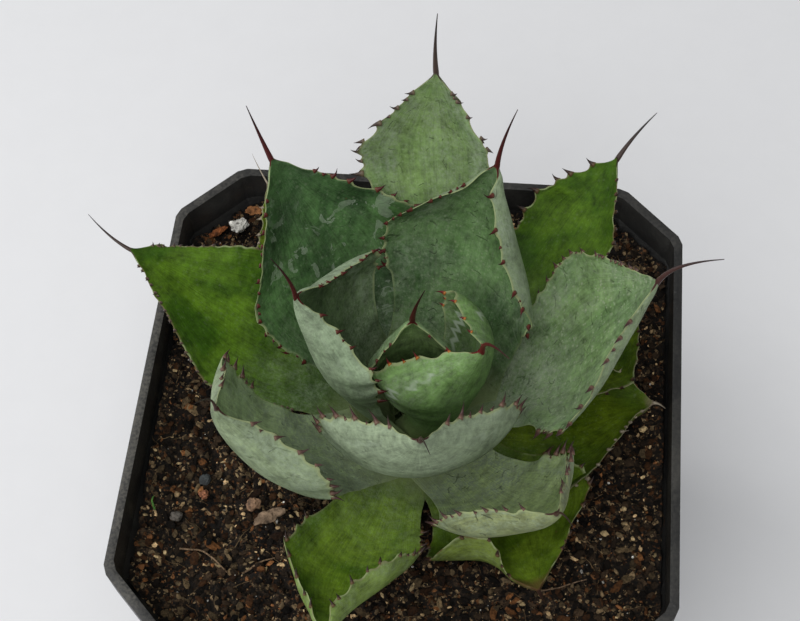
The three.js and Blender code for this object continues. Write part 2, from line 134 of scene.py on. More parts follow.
# Skins. deep and fresh are the two greens that the upper face drifts between and back the under face; bloom
# is how much of the face the wax covers, above and below; brown is how far the margin is brown instead of
# pale, low how much more wax lies towards the foot, partly as painted light on the shaded lower leaf, tone
# the colour of a dried tip that isn't brown, and the rest are amounts from 0 to 1, of which a skin leaves
# out those that it shows none of.
NONE_SHOWN = {"spots": 0.0, "prints": 0.0, "dead": 0.0}
LOOKS = {
    "bright": dict(
        deep=(0.030, 0.078, 0.003), fresh=(0.075, 0.150, 0.008), back=(0.10, 0.17, 0.03),
        bloom=(0.03, 0.30), flecks=0.10, wrinkles=0.05, low=0.45, brown=0.75),
    "patched": dict(
        deep=(0.058, 0.122, 0.006), fresh=(0.160, 0.260, 0.020), back=(0.15, 0.22, 0.04),
        bloom=(0.10, 0.30), flecks=0.15, wrinkles=0.15, dead=0.1, low=0.30, brown=0.4),
    "burnt": dict(
        deep=(0.049, 0.092, 0.004), fresh=(0.102, 0.161, 0.010), back=(0.14, 0.19, 0.03),
        bloom=(0.03, 0.25), flecks=0.10, wrinkles=0.15, dead=0.75, low=0.15, brown=0.9),
    "old": dict(
        deep=(0.039, 0.078, 0.003), fresh=(0.098, 0.150, 0.007), back=(0.15, 0.18, 0.03),
        bloom=(0.02, 0.20), flecks=0.15, wrinkles=0.2, dead=0.6, low=0.1, brown=0.6,
        tone=(0.26, 0.20, 0.14)),
    "bloomed": dict(
        deep=(0.116, 0.203, 0.058), fresh=(0.175, 0.273, 0.084), back=(0.16, 0.21, 0.10),
        bloom=(0.70, 0.8), flecks=0.4, wrinkles=0.6, spots=0.1, prints=0.15, low=0.3, brown=0.3),
    "flecked": dict(
        deep=(0.115, 0.205, 0.070), fresh=(0.190, 0.300, 0.110), back=(0.20, 0.27, 0.13),
        bloom=(0.60, 0.85), flecks=1.0, wrinkles=0.6, prints=0.1, low=0.95, brown=0.1),
    # wrinkled and pale_edge carry lighter greens than the rest: painted light for leaves that lie in their
    # neighbours' shade
    "wrinkled": dict(
        deep=(0.260, 0.350, 0.130), fresh=(0.380, 0.490, 0.200), back=(0.22, 0.25, 0.10),
        bloom=(0.75, 0.75), flecks=0.6, wrinkles=1.0, prints=0.1, low=0.8, brown=0.2),
    "pale_edge": dict(
        deep=(0.270, 0.370, 0.170), fresh=(0.410, 0.530, 0.260), back=(0.22, 0.28, 0.15),
        bloom=(0.70, 0.9), flecks=0.6, wrinkles=0.5, prints=0.2, low=0.9, brown=0.1),
    "deep": dict(
        deep=(0.034, 0.085, 0.024), fresh=(0.088, 0.172, 0.054), back=(0.19, 0.26, 0.13),
        bloom=(0.38, 0.95), flecks=0.35, wrinkles=0.7, spots=0.25, prints=0.15, low=0.15, brown=0.0),
    "spotted": dict(
        deep=(0.026, 0.066, 0.020), fresh=(0.068, 0.150, 0.045), back=(0.18, 0.25, 0.12),
        bloom=(0.14, 0.8), flecks=0.2, wrinkles=0.3, spots=1.0, low=0.35, brown=0.0),
    "pale_back": dict(
        deep=(0.080, 0.130, 0.055), fresh=(0.120, 0.180, 0.080), back=(0.24, 0.30, 0.19),
        bloom=(0.5, 1.0), flecks=0.4, wrinkles=0.3, prints=0.3, low=0.6, brown=0.1),
    "young_pale": dict(
        deep=(0.070, 0.120, 0.045), fresh=(0.110, 0.175, 0.068), back=(0.286, 0.377, 0.234),
        bloom=(0.4, 1.0), flecks=0.3, wrinkles=0.2, prints=0.2, low=0.3, brown=0.0),
    "young": dict(
        deep=(0.090, 0.165, 0.045), fresh=(0.135, 0.230, 0.070), back=(0.154, 0.276, 0.080),
        bloom=(0.4, 0.5), flecks=0.35, wrinkles=0.2, prints=1.0, low=0.2, brown=0.0),
    "bud": dict(
        deep=(0.100, 0.175, 0.050), fresh=(0.145, 0.230, 0.075), back=(0.14, 0.23, 0.09),
        bloom=(0.3, 0.45), flecks=0.2, wrinkles=0.1, prints=0.3, low=0.1, brown=0.0),
}

# Horn of the teeth and spines: colour at the root, half way and at the point.
HORNS = {
    "red": ((0.120, 0.035, 0.020), (0.070, 0.009, 0.009), (0.022, 0.006, 0.006)),
    "rose": ((0.150, 0.085, 0.058), (0.060, 0.026, 0.022), (0.025, 0.012, 0.011)),
    "grey": ((0.150, 0.110, 0.068), (0.062, 0.040, 0.032), (0.024, 0.017, 0.016)),
    "dark": ((0.120, 0.070, 0.030), (0.036, 0.017, 0.012), (0.012, 0.008, 0.007)),
    "flame": ((0.420, 0.150, 0.030), (0.130, 0.012, 0.014), (0.040, 0.007, 0.008)),
    "pale": ((0.260, 0.210, 0.130), (0.330, 0.280, 0.210), (0.240, 0.200, 0.150)),
}

# Strands lying on the soil: their routes in x and y and their radius, in millimetres, and their colour.
STRANDS = [
    dict(name="straws", radius=0.24, colour=(0.26, 0.17, 0.10), routes=[
        [(-46.7, -36.1), (-41.6, -36.6), (-37.1, -39.8), (-35.4, -41.0)],
        [(-32.2, -40.8), (-28.6, -38.2), (-25.6, -36.5)]]),
    dict(name="dry_thread", radius=0.20, colour=(0.20, 0.13, 0.08), routes=[
        [(31.5, -40.6), (35.8, -39.4), (41.4, -36.7)]]),
    dict(name="sprout", radius=0.30, colour=(0.10, 0.24, 0.05), routes=[
        [(-53.5, -27.8), (-54.2, -26.4), (-54.0, -25.2)]]),
]


# ---- settings ----

def number(name, text, value, unit="NONE"):
    """A number that a user can change; lengths are in metres."""
    return bpy.props.FloatProperty(name=name, description=text, default=value, unit=unit, precision=4)


def colour(name, text, value):
    """A colour that a user can change."""
    return bpy.props.FloatVectorProperty(
        name=name, description=text, default=value, size=3, subtype="COLOR", min=0, max=1)


def whole(name, text, value):
    """A count or seed that a user can change."""
    return bpy.props.IntProperty(name=name, description=text, default=value, min=0)


class LeafSettings(bpy.types.PropertyGroup):
    rows: whole("Rows", "Rows of points along a leaf", 190)
    columns: whole("Columns", "Points across each face of a leaf", 34)
    tooth: number("Tooth length", "Length of a marginal tooth at mid leaf", 2.1 * MM, "LENGTH")
    tooth_root: number("Tooth root", "Half width of a tooth where it leaves the margin", 0.72 * MM, "LENGTH")
    crowding: number("Crowding", "Distance between teeth, as a share of each leaf's own", 1.0)
    teat: number("Teat", "Height of the fleshy teat under a tooth", 1.5 * MM, "LENGTH")
    wave: number("Wave", "How far the margin weaves in and out of the blade's face", 0.55 * MM, "LENGTH")
    wax: colour("Wax", "Colour of the bloom on the skin", (0.260, 0.320, 0.215))
    margin: colour("Margin", "Colour of the thin horny line along the margin", (0.30, 0.35, 0.17))
    foot: colour("Foot", "Colour of the pale foot of a leaf", (0.30, 0.36, 0.17))
    dead: colour("Dead tissue", "Colour of a burnt or dried leaf tip", (0.10, 0.050, 0.022))


class SoilSettings(bpy.types.PropertyGroup):
    step: number("Grid step", "Distance between points of the soil's surface", 0.46 * MM, "LENGTH")
    crumbs: whole("Crumbs", "Loose dark crumbs of peat", 9500)
    bark: whole("Bark", "Loose bits of bark and fibre", 2600)
    grit: whole("Grit", "Loose bits of tan and grey grit", 5200)
    perlite: whole("Perlite", "Loose white bits of perlite", 260)
    fibres: whole("Fibres", "Fine rootlets and fibres", 260)
    peat: colour("Peat", "Colour of the damp peat", (0.018, 0.011, 0.006))
    rust: colour("Bark", "Colour of the bark bits", (0.110, 0.045, 0.015))
    tan: colour("Grit", "Colour of the grit", (0.30, 0.205, 0.105))
    white: colour("Perlite", "Colour of the perlite", (0.66, 0.64, 0.58))


class PotSettings(bpy.types.PropertyGroup):
    edge: number("Edge radius", "Width of the rounding on the pot's edges", 0.45 * MM, "LENGTH")
    plastic: colour("Plastic", "Colour of the moulded plastic", (0.012, 0.0122, 0.0125))
    dust: colour("Dust", "Colour of the dust and dried splashes", (0.120, 0.112, 0.095))


class StudioSettings(bpy.types.PropertyGroup):
    azimuth: number("Azimuth", "Bearing of the camera round the pot, in degrees", 9.531)
    elevation: number("Elevation", "Height of the camera above the horizon, in degrees", 57.983)
    roll: number("Roll", "Turn of the camera about its own axis, in degrees", -4.618)
    distance: number("Distance", "From the centre of the pot's rim to the camera", 0.361422, "LENGTH")
    right: number("Shift right", "How far the camera stands to the right of that line", -0.001686, "LENGTH")
    raised: number("Shift up", "How far the camera stands above that line", 0.019052, "LENGTH")
    lens: number("Lens", "Focal length in millimetres, on a 36 mm sensor", 73.43)
    key: number("Overhead light", "Power of the large light above, in watts", 11.2)
    side: number("Window", "Power of the window-like light on the left, in watts", 5.8)
    fill: number("Sky", "Brightness of the surroundings", 0.30)
    floor: colour("Floor", "Colour of the floor", (0.83, 0.83, 0.84))


SETTINGS = {
    "agave_leaves": LeafSettings, "agave_soil": SoilSettings,
    "agave_pot": PotSettings, "agave_studio": StudioSettings,
}


# ---- meshes from arrays ----

def lerp(a, b, share):
    return a + (b - a) * share


def unit(vectors):
    return vectors / np.linalg.norm(vectors, axis=-1, keepdims=True)


def smooth_step(value, low, high):
    """0 below low, 1 above high, and 3x^2 - 2x^3 between."""
    x = np.clip((value - low) / (high - low), 0, 1)
    return x * x * (3 - 2 * x)


def grid_quads(rows, columns, closed):
    """Quads between neighbouring rows of points; closed joins each row's end to its start."""
    row = np.arange(rows - 1)[:, None] * columns
    here = np.arange(columns if closed else columns - 1)[None, :]
    beside = (here + 1) % columns
    corners = [row + here, row + beside, row + columns + beside, row + columns + here]
    return np.stack(corners, -1).reshape(-1, 4)


def cap_triangles(ring, centre, outward):
    """A fan from the point numbered centre to a closed ring of points."""
    here, beside = ring, np.roll(ring, -1)
    order = (here, beside) if outward else (beside, here)
    return np.stack([*order, np.full(len(ring), centre)], -1)


def ring_faces(rows, columns, turned):
    """Faces of a body of closed rings whose two end points are numbered after them: the quads between the
    rings and a fan at each end. turned is for rings that run clockwise, seen from the last one."""
    quads = grid_quads(rows, columns, True)
    first, count = np.arange(columns), rows * columns
    fans = np.concatenate([
        cap_triangles(first, count, turned), cap_triangles(first + count - columns, count + 1, not turned)])
    return quads[:, ::-1] if turned else quads, fans


def add_piece(name, mesh):
    """An object of the mesh that rides on the root body."""
    piece = bpy.data.objects.new(name, mesh)
    bpy.context.scene.collection.objects.link(piece)
    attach(piece, "root")
    return piece


def make_piece(name, points, quads, triangles, smooth=True, numbers=None, colours=None, across=None):
    """A mesh object that rides on the root body. numbers and colours are named values at the points, and
    across is a pair of values at the points that become the UV map."""
    mesh = bpy.data.meshes.new(name)
    mesh.vertices.add(len(points))
    mesh.vertices.foreach_set("co", np.asarray(points, np.float32).ravel())
    corners = np.concatenate([np.ravel(quads), np.ravel(triangles)]).astype(np.int32)
    sizes = np.concatenate([np.full(len(quads), 4), np.full(len(triangles), 3)])
    mesh.loops.add(len(corners))
    mesh.loops.foreach_set("vertex_index", corners)
    mesh.polygons.add(len(sizes))
    mesh.polygons.foreach_set("loop_start", (np.cumsum(sizes) - sizes).astype(np.int32))
    mesh.update(calc_edges=True)
    mesh.validate()
    mesh.polygons.foreach_set("use_smooth", np.full(len(mesh.polygons), smooth))
    for label, values in (numbers or {}).items():
        layer = mesh.attributes.new(label, "FLOAT", "POINT")
        layer.data.foreach_set("value", np.ravel(values).astype(np.float32))
    for label, values in (colours or {}).items():
        rgba = np.concatenate([values, np.ones((len(values), 1))], 1).astype(np.float32)
        mesh.attributes.new(label, "FLOAT_COLOR", "POINT").data.foreach_set("color", rgba.ravel())
    if across is not None:
        order = np.empty(len(mesh.loops), np.int32)
        mesh.loops.foreach_get("vertex_index", order)
        mesh.uv_layers.new(name="UVMap").data.foreach_set("uv", across[order].astype(np.float32).ravel())
    return add_piece(name, mesh)


def merged_copy(node, name):
    """A copy of a node's mesh with its loose triangles joined into one closed body."""
    near = 0.002 * MM
    shape = bmesh.new()
    shape.from_mesh(frame["nodes"][node].data)
    bmesh.ops.remove_doubles(shape, verts=shape.verts, dist=near)
    mesh = bpy.data.meshes.new(name)
    shape.to_mesh(mesh)
    shape.free()
    mesh.materials.clear()
    piece = add_piece(name, mesh)
    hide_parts(node)
    return piece


def tubes(paths, radii, sides, flat=1.0, up=None):
    """Closed tapered tubes, all at once: paths is (tubes, rings, 3) and radii (tubes, rings). Each ring is a
    circle about the path, squeezed by flat along up, and each end is closed by a fan. Gives the points, the
    quads, the fans and each point's share of its tube's length."""
    count, rings, _ = paths.shape
    tangent = unit(np.gradient(paths, axis=1))
    if up is None:
        up = np.broadcast_to([0.31, 0.17, 0.93], (count, 3))
    across = unit(np.cross(tangent, up[:, None, :]))
    over = np.cross(across, tangent)
    angle = np.linspace(0, 2 * np.pi, sides, endpoint=False)
    cosine, sine = np.cos(angle)[:, None], (flat * np.sin(angle))[:, None]
    circle = across[:, :, None] * cosine + over[:, :, None] * sine
    skin = paths[:, :, None] + circle * radii[:, :, None, None]
    points = np.concatenate([skin.reshape(count, -1, 3), paths[:, :1], paths[:, -1:]], 1)
    start = np.arange(count)[:, None, None] * points.shape[1]
    quads, fans = ring_faces(rings, sides, True)
    share = np.linspace(0, 1, rings)[:, None] * np.ones(sides)
    place = np.broadcast_to(np.concatenate([share.ravel(), [0, 1]]), (count, points.shape[1]))
    quads, fans = (quads[None] + start).reshape(-1, 4), (fans[None] + start).reshape(-1, 3)
    return points.reshape(-1, 3), quads, fans, place.ravel()


# ---- node helpers ----

class Graph:
    """Adds nodes to one node tree. An input is a plain value or another node's output, and a plain colour is
    three numbers."""

    def __init__(self, tree):
        self.tree = tree

    def put(self, kind, inputs=None, **settings):
        node = self.tree.nodes.new(kind)
        for label, value in settings.items():
            setattr(node, label, value)
        for label, value in (inputs or {}).items():
            self.feed(node.inputs[label], value)
        return node

    def feed(self, socket, value):
        """Links a socket to another node's output, or sets it to a plain value."""
        if isinstance(value, bpy.types.NodeSocket):
            self.tree.links.new(value, socket)
        else:
            socket.default_value = (*value, 1.0) if socket.type == "RGBA" else value

    def maths(self, operation, a, b=0.0, clamp=False):
        return self.put("ShaderNodeMath", {0: a, 1: b}, operation=operation, use_clamp=clamp).outputs[0]

    def times(self, *values):
        product = values[0]
        for value in values[1:]:
            product = self.maths("MULTIPLY", product, value)
        return product

    def plus(self, *values, clamp=False):
        total = values[0]
        for value in values[1:]:
            total = self.maths("ADD", total, value, clamp)
        return total

    def less(self, a, b):
        return self.maths("SUBTRACT", a, b)

    def other(self, value):
        """One less the value."""
        return self.maths("SUBTRACT", 1.0, value)

    def about(self, value, amount):
        """How far a noise is from its middle, times an amount."""
        return self.times(self.less(value, 0.5), amount)

    def step(self, value, low, high, start=0.0, end=1.0):
        """start below low, end above high, smooth between."""
        limits = {"From Min": low, "From Max": high, "To Min": start, "To Max": end}
        return self.put(
            "ShaderNodeMapRange", {"Value": value, **limits}, interpolation_type="SMOOTHSTEP"
        ).outputs["Result"]

    def blend(self, share, a, b):
        """Colour a where share is 0 and b where it is 1."""
        return self.put(
            "ShaderNodeMix", {0: share, 6: a, 7: b}, data_type="RGBA", clamp_factor=True).outputs[2]

    def shade(self, colour, by):
        """The colour made lighter or darker by a number about 1."""
        return self.put(
            "ShaderNodeHueSaturation",
            {"Hue": 0.5, "Saturation": 1.0, "Value": by, "Fac": 1.0, "Color": colour}
        ).outputs[0]

    def noise(self, at, scale, detail=3.0, rough=0.55, warp=0.0):
        return self.put(
            "ShaderNodeTexNoise",
            {"Vector": at, "Scale": scale, "Detail": detail, "Roughness": rough, "Distortion": warp}
        ).outputs["Fac"]

    def cells(self, at, scale, output="Distance"):
        return self.put("ShaderNodeTexVoronoi", {"Vector": at, "Scale": scale}).outputs[output]

    def parts(self, vector):
        """The three numbers of a vector or colour."""
        return self.put("ShaderNodeSeparateXYZ", {0: vector}).outputs

    def place(self):
        return self.put("ShaderNodeTexCoord").outputs["Object"]

    def attribute(self, label, output="Fac"):
        return self.put("ShaderNodeAttribute", attribute_name=label).outputs[output]

    def stretched(self, at, scale):
        return self.put("ShaderNodeMapping", {"Vector": at, "Scale": scale}).outputs[0]


def new_group(name, inputs, outputs):
    """An empty shader node group: its graph, its inputs and its outputs."""
    kinds = {"number": "NodeSocketFloat", "colour": "NodeSocketColor"}
    tree = bpy.data.node_groups.new(name, "ShaderNodeTree")
    for label, kind, value in inputs:
        socket = tree.interface.new_socket(label, in_out="INPUT", socket_type=kinds[kind])
        socket.default_value = value if kind == "number" else (*value, 1.0)
    for label, kind in outputs:
        tree.interface.new_socket(label, in_out="OUTPUT", socket_type=kinds[kind])
    given, result = tree.nodes.new("NodeGroupInput"), tree.nodes.new("NodeGroupOutput")
    return Graph(tree), given.outputs, result.inputs


def new_material(name, specular=0.5):
    """A material with one Principled shader: the material, its graph and the shader."""
    material = bpy.data.materials.new(name)
    material.use_nodes = True
    graph = Graph(material.node_tree)
    graph.tree.nodes.clear()
    shader = graph.put("ShaderNodeBsdfPrincipled", {"Specular IOR Level": specular})
    graph.put("ShaderNodeOutputMaterial", {"Surface": shader.outputs[0]})
    return material, graph, shader


def finish_surface(graph, shader, colour, roughness, height, depth, strength=1.0):
    """Feeds the shader: colour, roughness, and a bump whose full height is depth metres."""
    graph.feed(shader.inputs["Base Color"], colour)
    graph.feed(shader.inputs["Roughness"], roughness)
    bump = graph.put("ShaderNodeBump", {"Height": height, "Distance": depth, "Strength": strength})
    graph.feed(shader.inputs["Normal"], bump.outputs[0])


# ---- leaf skin ----

def skin_group():
    """Agave skin: two drifting greens under fibre streaks, a wax bloom in rubbed patches that is heavier
    towards the margins, where it also serves as painted sheen, and towards the foot, where it also serves as
    painted light on the shaded lower leaf, pale flecks, dark pricks, blots of dried water, short wrinkles
    with painted shade in their creases, zigzag prints of the next leaf's teeth, a thin horny margin, a pale
    foot and a dried tip. It reads the leaf's UV map (across, along) and the values under and teat at its
    points."""
    graph, given, result = new_group(
        "agave skin",
        [("Deep", "colour", (0.04, 0.08, 0.02)), ("Fresh", "colour", (0.08, 0.14, 0.04)),
         ("Back", "colour", (0.18, 0.22, 0.12)), ("Wax", "colour", (0.25, 0.30, 0.20)),
         ("Margin", "colour", (0.36, 0.36, 0.17)), ("Foot", "colour", (0.3, 0.36, 0.17)),
         ("Dead", "colour", (0.1, 0.05, 0.02)), ("Horn", "colour", (0.2, 0.1, 0.05)),
         ("Bloom Above", "number", 0.5), ("Bloom Below", "number", 0.8), ("Flecks", "number", 0.3),
         ("Wrinkles", "number", 0.3), ("Spots", "number", 0.0), ("Prints", "number", 0.2),
         ("Dead Tip", "number", 0.0), ("Brown", "number", 0.0), ("Foot Wax And Light", "number", 0.0),
         ("Seed", "number", 0.0)],
        [("Color", "colour"), ("Roughness", "number"), ("Height", "number")])
    uv = graph.put("ShaderNodeUVMap", uv_map="UVMap").outputs[0]
    split = graph.parts(uv)
    across = graph.plus(graph.times(split[0], 2.0), -1.0)
    along = split[1]
    edge = graph.maths("ABSOLUTE", across)
    under = graph.attribute("under")
    teat = graph.attribute("teat")
    seed = graph.put("ShaderNodeCombineXYZ", {axis: given["Seed"] for axis in range(3)}).outputs[0]
    place, sheet = (
        graph.put("ShaderNodeVectorMath", {0: origin, 1: seed}, operation="ADD").outputs[0]
        for origin in (graph.place(), uv))

    # greens, from the broad drift to the fine fibre
    drift = graph.noise(place, 60.0, 4.0, 0.6, 0.5)
    skin = graph.blend(graph.step(drift, 0.38, 0.62), given["Deep"], given["Fresh"])
    skin = graph.blend(under, skin, given["Back"])
    fibre = graph.noise(graph.stretched(sheet, (70.0, 5.0, 1.0)), 1.0, 4.0, 0.65)
    mottle = graph.noise(place, 480.0, 5.0, 0.72)
    cloud = graph.noise(place, 150.0, 4.0, 0.65)
    lift = graph.plus(graph.about(fibre, 1.1), graph.about(mottle, 1.9), graph.about(cloud, 1.4), 1.0)
    skin = graph.shade(skin, lift)

    # bloom: patches, heavier at the margins, where it also serves as painted sheen, rubbed off along the leaf
    # and by small scratches
    bloom = graph.plus(
        graph.times(given["Bloom Above"], graph.other(under)), graph.times(given["Bloom Below"], under))
    patches = graph.step(graph.noise(place, 120.0, 6.0, 0.66, 0.6), 0.34, 0.64, 0.38, 1.0)
    worn = graph.noise(graph.stretched(sheet, (9.0, 2.2, 1.0)), 1.0, 5.0, 0.6)
    rubbed = graph.step(worn, 0.42, 0.70, 0.0, 0.65)
    grainy = graph.step(graph.noise(place, 1300.0, 3.0, 0.75), 0.34, 0.66, 0.40, 1.25)
    # the step on edge makes the wax heavier at the margins: painted sheen as well as bloom
    wax = graph.times(bloom, patches, graph.other(rubbed), grainy, graph.step(edge, 0.25, 0.95, 0.72, 1.15))
    # more wax towards the foot: partly painted light that lifts the lower leaf where its neighbours shade it
    low = graph.times(graph.step(along, 0.22, 0.62, 1.0, 0.0), given["Foot Wax And Light"], patches, grainy)
    wax = graph.plus(wax, graph.times(low, graph.other(under)), clamp=True)
    frost = graph.plus(graph.about(mottle, 1.3), graph.about(cloud, 0.6), 1.0)
    skin = graph.blend(wax, skin, graph.shade(given["Wax"], frost))

    # flecks: pale dashes in drifts, and a few dark pricks
    dash = graph.cells(graph.stretched(sheet, (46.0, 60.0, 1.0)), 1.0)
    dash = graph.times(graph.step(dash, 0.10, 0.34, 1.0, 0.0), graph.step(cloud, 0.42, 0.56))
    fleck = graph.cells(place, 780.0)
    fleck = graph.times(
        graph.step(fleck, 0.12, 0.36, 1.0, 0.0), graph.step(graph.noise(place, 260.0), 0.46, 0.6))
    pale = graph.times(graph.maths("MAXIMUM", dash, fleck), given["Flecks"], 0.65)
    skin = graph.blend(pale, skin, (0.36, 0.42, 0.28))
    prick = graph.times(
        graph.step(graph.cells(place, 210.0), 0.03, 0.075, 1.0, 0.0),
        graph.step(graph.noise(place, 90.0), 0.54, 0.62))
    skin = graph.blend(graph.times(prick, 0.6), skin, (0.10, 0.055, 0.025))

    # blots of dried water: ragged outlines with a thin veil inside, in drifts
    wet = graph.step(graph.noise(place, 70.0, 2.0), 0.44, 0.56)
    blot = graph.noise(place, 210.0, 3.0, 0.55, 1.1)
    ring = graph.times(graph.step(blot, 0.560, 0.575), graph.step(blot, 0.590, 0.610, 1.0, 0.0))
    veil = graph.step(blot, 0.57, 0.63, 0.0, 0.6)
    dried_water = graph.times(graph.maths("MAXIMUM", graph.times(ring, 0.7), veil), wet, given["Spots"], 0.7)
    skin = graph.blend(dried_water, skin, (0.30, 0.36, 0.27))

    # short curved wrinkles: broken contour lines of a noise that is long across the leaf, darkened in colour
    # as painted shade in the creases and sunk in the bump
    wave = graph.noise(graph.stretched(sheet, (8.0, 21.0, 1.0)), 1.0, 0.5, 0.5)
    near = graph.maths("ABSOLUTE", graph.less(wave, 0.5))
    crease = graph.times(
        graph.step(near, 0.004, 0.022, 1.0, 0.0), graph.step(graph.noise(place, 420.0, 1.0), 0.55, 0.61),
        given["Wrinkles"])
    skin = graph.shade(skin, graph.other(graph.times(crease, 0.42)))

    # prints: a zigzag line on each side of the midrib, left by the leaf that lay there in the bud
    zigzag = graph.maths("PINGPONG", graph.times(along, 19.0), 0.5)
    wander = graph.about(graph.noise(graph.stretched(sheet, (0.0, 6.0, 1.0)), 1.0), 0.25)
    line = graph.plus(
        graph.plus(graph.times(along, -0.30), 0.92), graph.plus(graph.times(zigzag, 0.17), wander))
    miss = graph.maths("ABSOLUTE", graph.less(edge, line))
    printed = graph.times(
        graph.step(miss, 0.015, 0.055, 1.0, 0.0), graph.step(along, 0.25, 0.45),
        graph.step(along, 0.80, 0.92, 1.0, 0.0), given["Prints"],
        graph.step(graph.noise(place, 160.0), 0.40, 0.58))
    skin = graph.blend(graph.times(printed, 0.9), skin, (0.40, 0.48, 0.36))

    # foot, margin, teats and tip
    skin = graph.blend(graph.step(along, 0.02, 0.26, 0.75, 0.0), skin, given["Foot"])
    rim = graph.plus(edge, graph.about(graph.noise(place, 420.0, 3.0), 0.035))
    browned = graph.times(given["Brown"], graph.step(graph.noise(place, 340.0), 0.40, 0.55))
    margin = graph.blend(browned, given["Margin"], given["Dead"])
    horny = graph.times(graph.step(rim, 0.962, 0.992, 0.0, 0.85), graph.step(along, 0.25, 0.60, 0.2, 1.0))
    skin = graph.blend(horny, skin, margin)
    under_tooth = graph.times(graph.step(teat, 0.55, 0.95), graph.step(edge, 0.965, 0.99), 0.8)
    skin = graph.blend(under_tooth, skin, given["Horn"])
    ragged = graph.plus(along, graph.about(graph.noise(place, 300.0, 4.0), 0.06))
    tip = graph.plus(
        graph.times(ragged, 0.3), graph.times(along, 0.7), graph.times(graph.step(edge, 0.90, 0.98), 0.02))
    skin = graph.blend(graph.step(tip, 0.990, 1.0), skin, given["Horn"])
    withered = graph.plus(
        ragged, graph.about(drift, 0.20), graph.times(graph.less(given["Dead Tip"], 0.9), 0.13))
    dried = graph.times(graph.step(withered, 0.91, 0.96), given["Dead Tip"])
    skin = graph.blend(dried, skin, given["Dead"])

    rough = graph.plus(graph.times(wax, 0.20), graph.about(mottle, 0.25), 0.44)
    height = graph.plus(graph.times(fibre, 0.30), graph.times(mottle, 0.55))
    height = graph.less(height, graph.times(crease, 0.50))
    height = graph.plus(height, graph.times(cloud, 0.6), graph.times(dried, mottle, 0.8))
    for label, value in (("Color", skin), ("Roughness", rough), ("Height", height)):
        graph.feed(result[label], value)
    return graph.tree


def leaf_material(leaf, number_in_rosette, group, settings):
    """The skin of one leaf, with its own colours, amounts and drift."""
    look = {**NONE_SHOWN, **LOOKS[leaf["look"]]}
    material, graph, shader = new_material("skin " + leaf["name"].replace("_", " "), 0.08)
    skin = graph.put("ShaderNodeGroup", {
        "Deep": look["deep"], "Fresh": look["fresh"], "Back": look["back"], "Wax": settings.wax[:],
        "Margin": settings.margin[:], "Foot": settings.foot[:], "Dead": look.get("tone", settings.dead[:]),
        "Horn": HORNS[leaf["horn"]][1], "Bloom Above": look["bloom"][0], "Bloom Below": look["bloom"][1],
        "Flecks": look["flecks"], "Wrinkles": look["wrinkles"], "Spots": look["spots"],
        "Prints": look["prints"], "Dead Tip": look["dead"], "Brown": look["brown"], "Foot Wax And Light": look["low"],
        "Seed": 1.37 * (number_in_rosette + 1)}, node_tree=group).outputs
    finish_surface(graph, shader, skin["Color"], skin["Roughness"], skin["Height"], 0.45 * MM, 0.9)
    return material


def horn_material(name, colours):
    """Hard horn: the colour runs from root to point along each tooth, in fine lengthwise streaks."""
    root, middle, point = colours
    material, graph, shader = new_material("horn " + name, 0.3)
    along = graph.attribute("along")
    streak = graph.noise(graph.place(), 900.0, 3.0, 0.6)
    shifted = graph.plus(along, graph.about(streak, 0.25))
    horn = graph.blend(graph.step(shifted, 0.05, 0.38), root, middle)
    horn = graph.blend(graph.step(shifted, 0.45, 0.95), horn, point)
    horn = graph.shade(horn, graph.plus(graph.times(streak, 0.7), 0.65))
    finish_surface(graph, shader, horn, 0.42, streak, 0.12 * MM, 0.6)
    return material


# ---- leaf shapes ----

def leaf_frame(leaf, s):
    """Directions along the midrib, to its left and out of the upper face, at each s from foot to tip. The
    bearing gains swing * s^1.5, the slope and the roll change evenly along the leaf, and left and face are
    turned about the midrib by the roll."""
    bearing = np.radians(leaf["turn"] + leaf["swing"] * s ** 1.5)
    slope = np.radians(lerp(*leaf["rise"], s))
    roll = np.radians(lerp(*leaf["roll"], s))[..., None]
    along = np.stack([np.cos(bearing) * np.cos(slope), np.sin(bearing) * np.cos(slope), np.sin(slope)], -1)
    level = np.stack([-np.sin(bearing), np.cos(bearing), 0 * s], -1)
    upper = np.cross(along, level)
    return along, level * np.cos(roll) + upper * np.sin(roll), upper * np.cos(roll) - level * np.sin(roll)


def midrib(leaf, s):
    """Point of the midrib at each s: its foot plus the running sum of its direction."""
    fine = 512
    middle = (np.arange(fine) + 0.5) / fine
    run = np.vstack([np.zeros(3), np.cumsum(leaf_frame(leaf, middle)[0], 0)]) * leaf["length"] / fine
    turn = math.radians(leaf["turn"])
    foot = np.array([*(PLANT / MM), RIM / MM + leaf["up"]])
    foot += leaf["out"] * np.array([math.cos(turn), math.sin(turn), 0])
    knots = np.linspace(0, 1, fine + 1)
    return foot + np.stack([np.interp(s, knots, run[:, axis]) for axis in range(3)], -1)


def half_width(leaf, s):
    """Half width along the blade: a narrow foot that swells with sin^4 to full width, then a taper."""
    swell = np.sin(np.clip(s / leaf["widest"], 0, 1) * np.pi / 2) ** 4
    fall = np.clip((s - leaf["widest"]) / (1 - leaf["widest"]), 0, 1)
    grown = leaf["foot"] + (1 - leaf["foot"]) * swell
    drawn = 0.035 + 0.965 * (1 - fall ** 1.5) * (1 - 0.45 * fall ** 1.5)
    return leaf["half"] * np.where(s < leaf["widest"], grown, drawn)


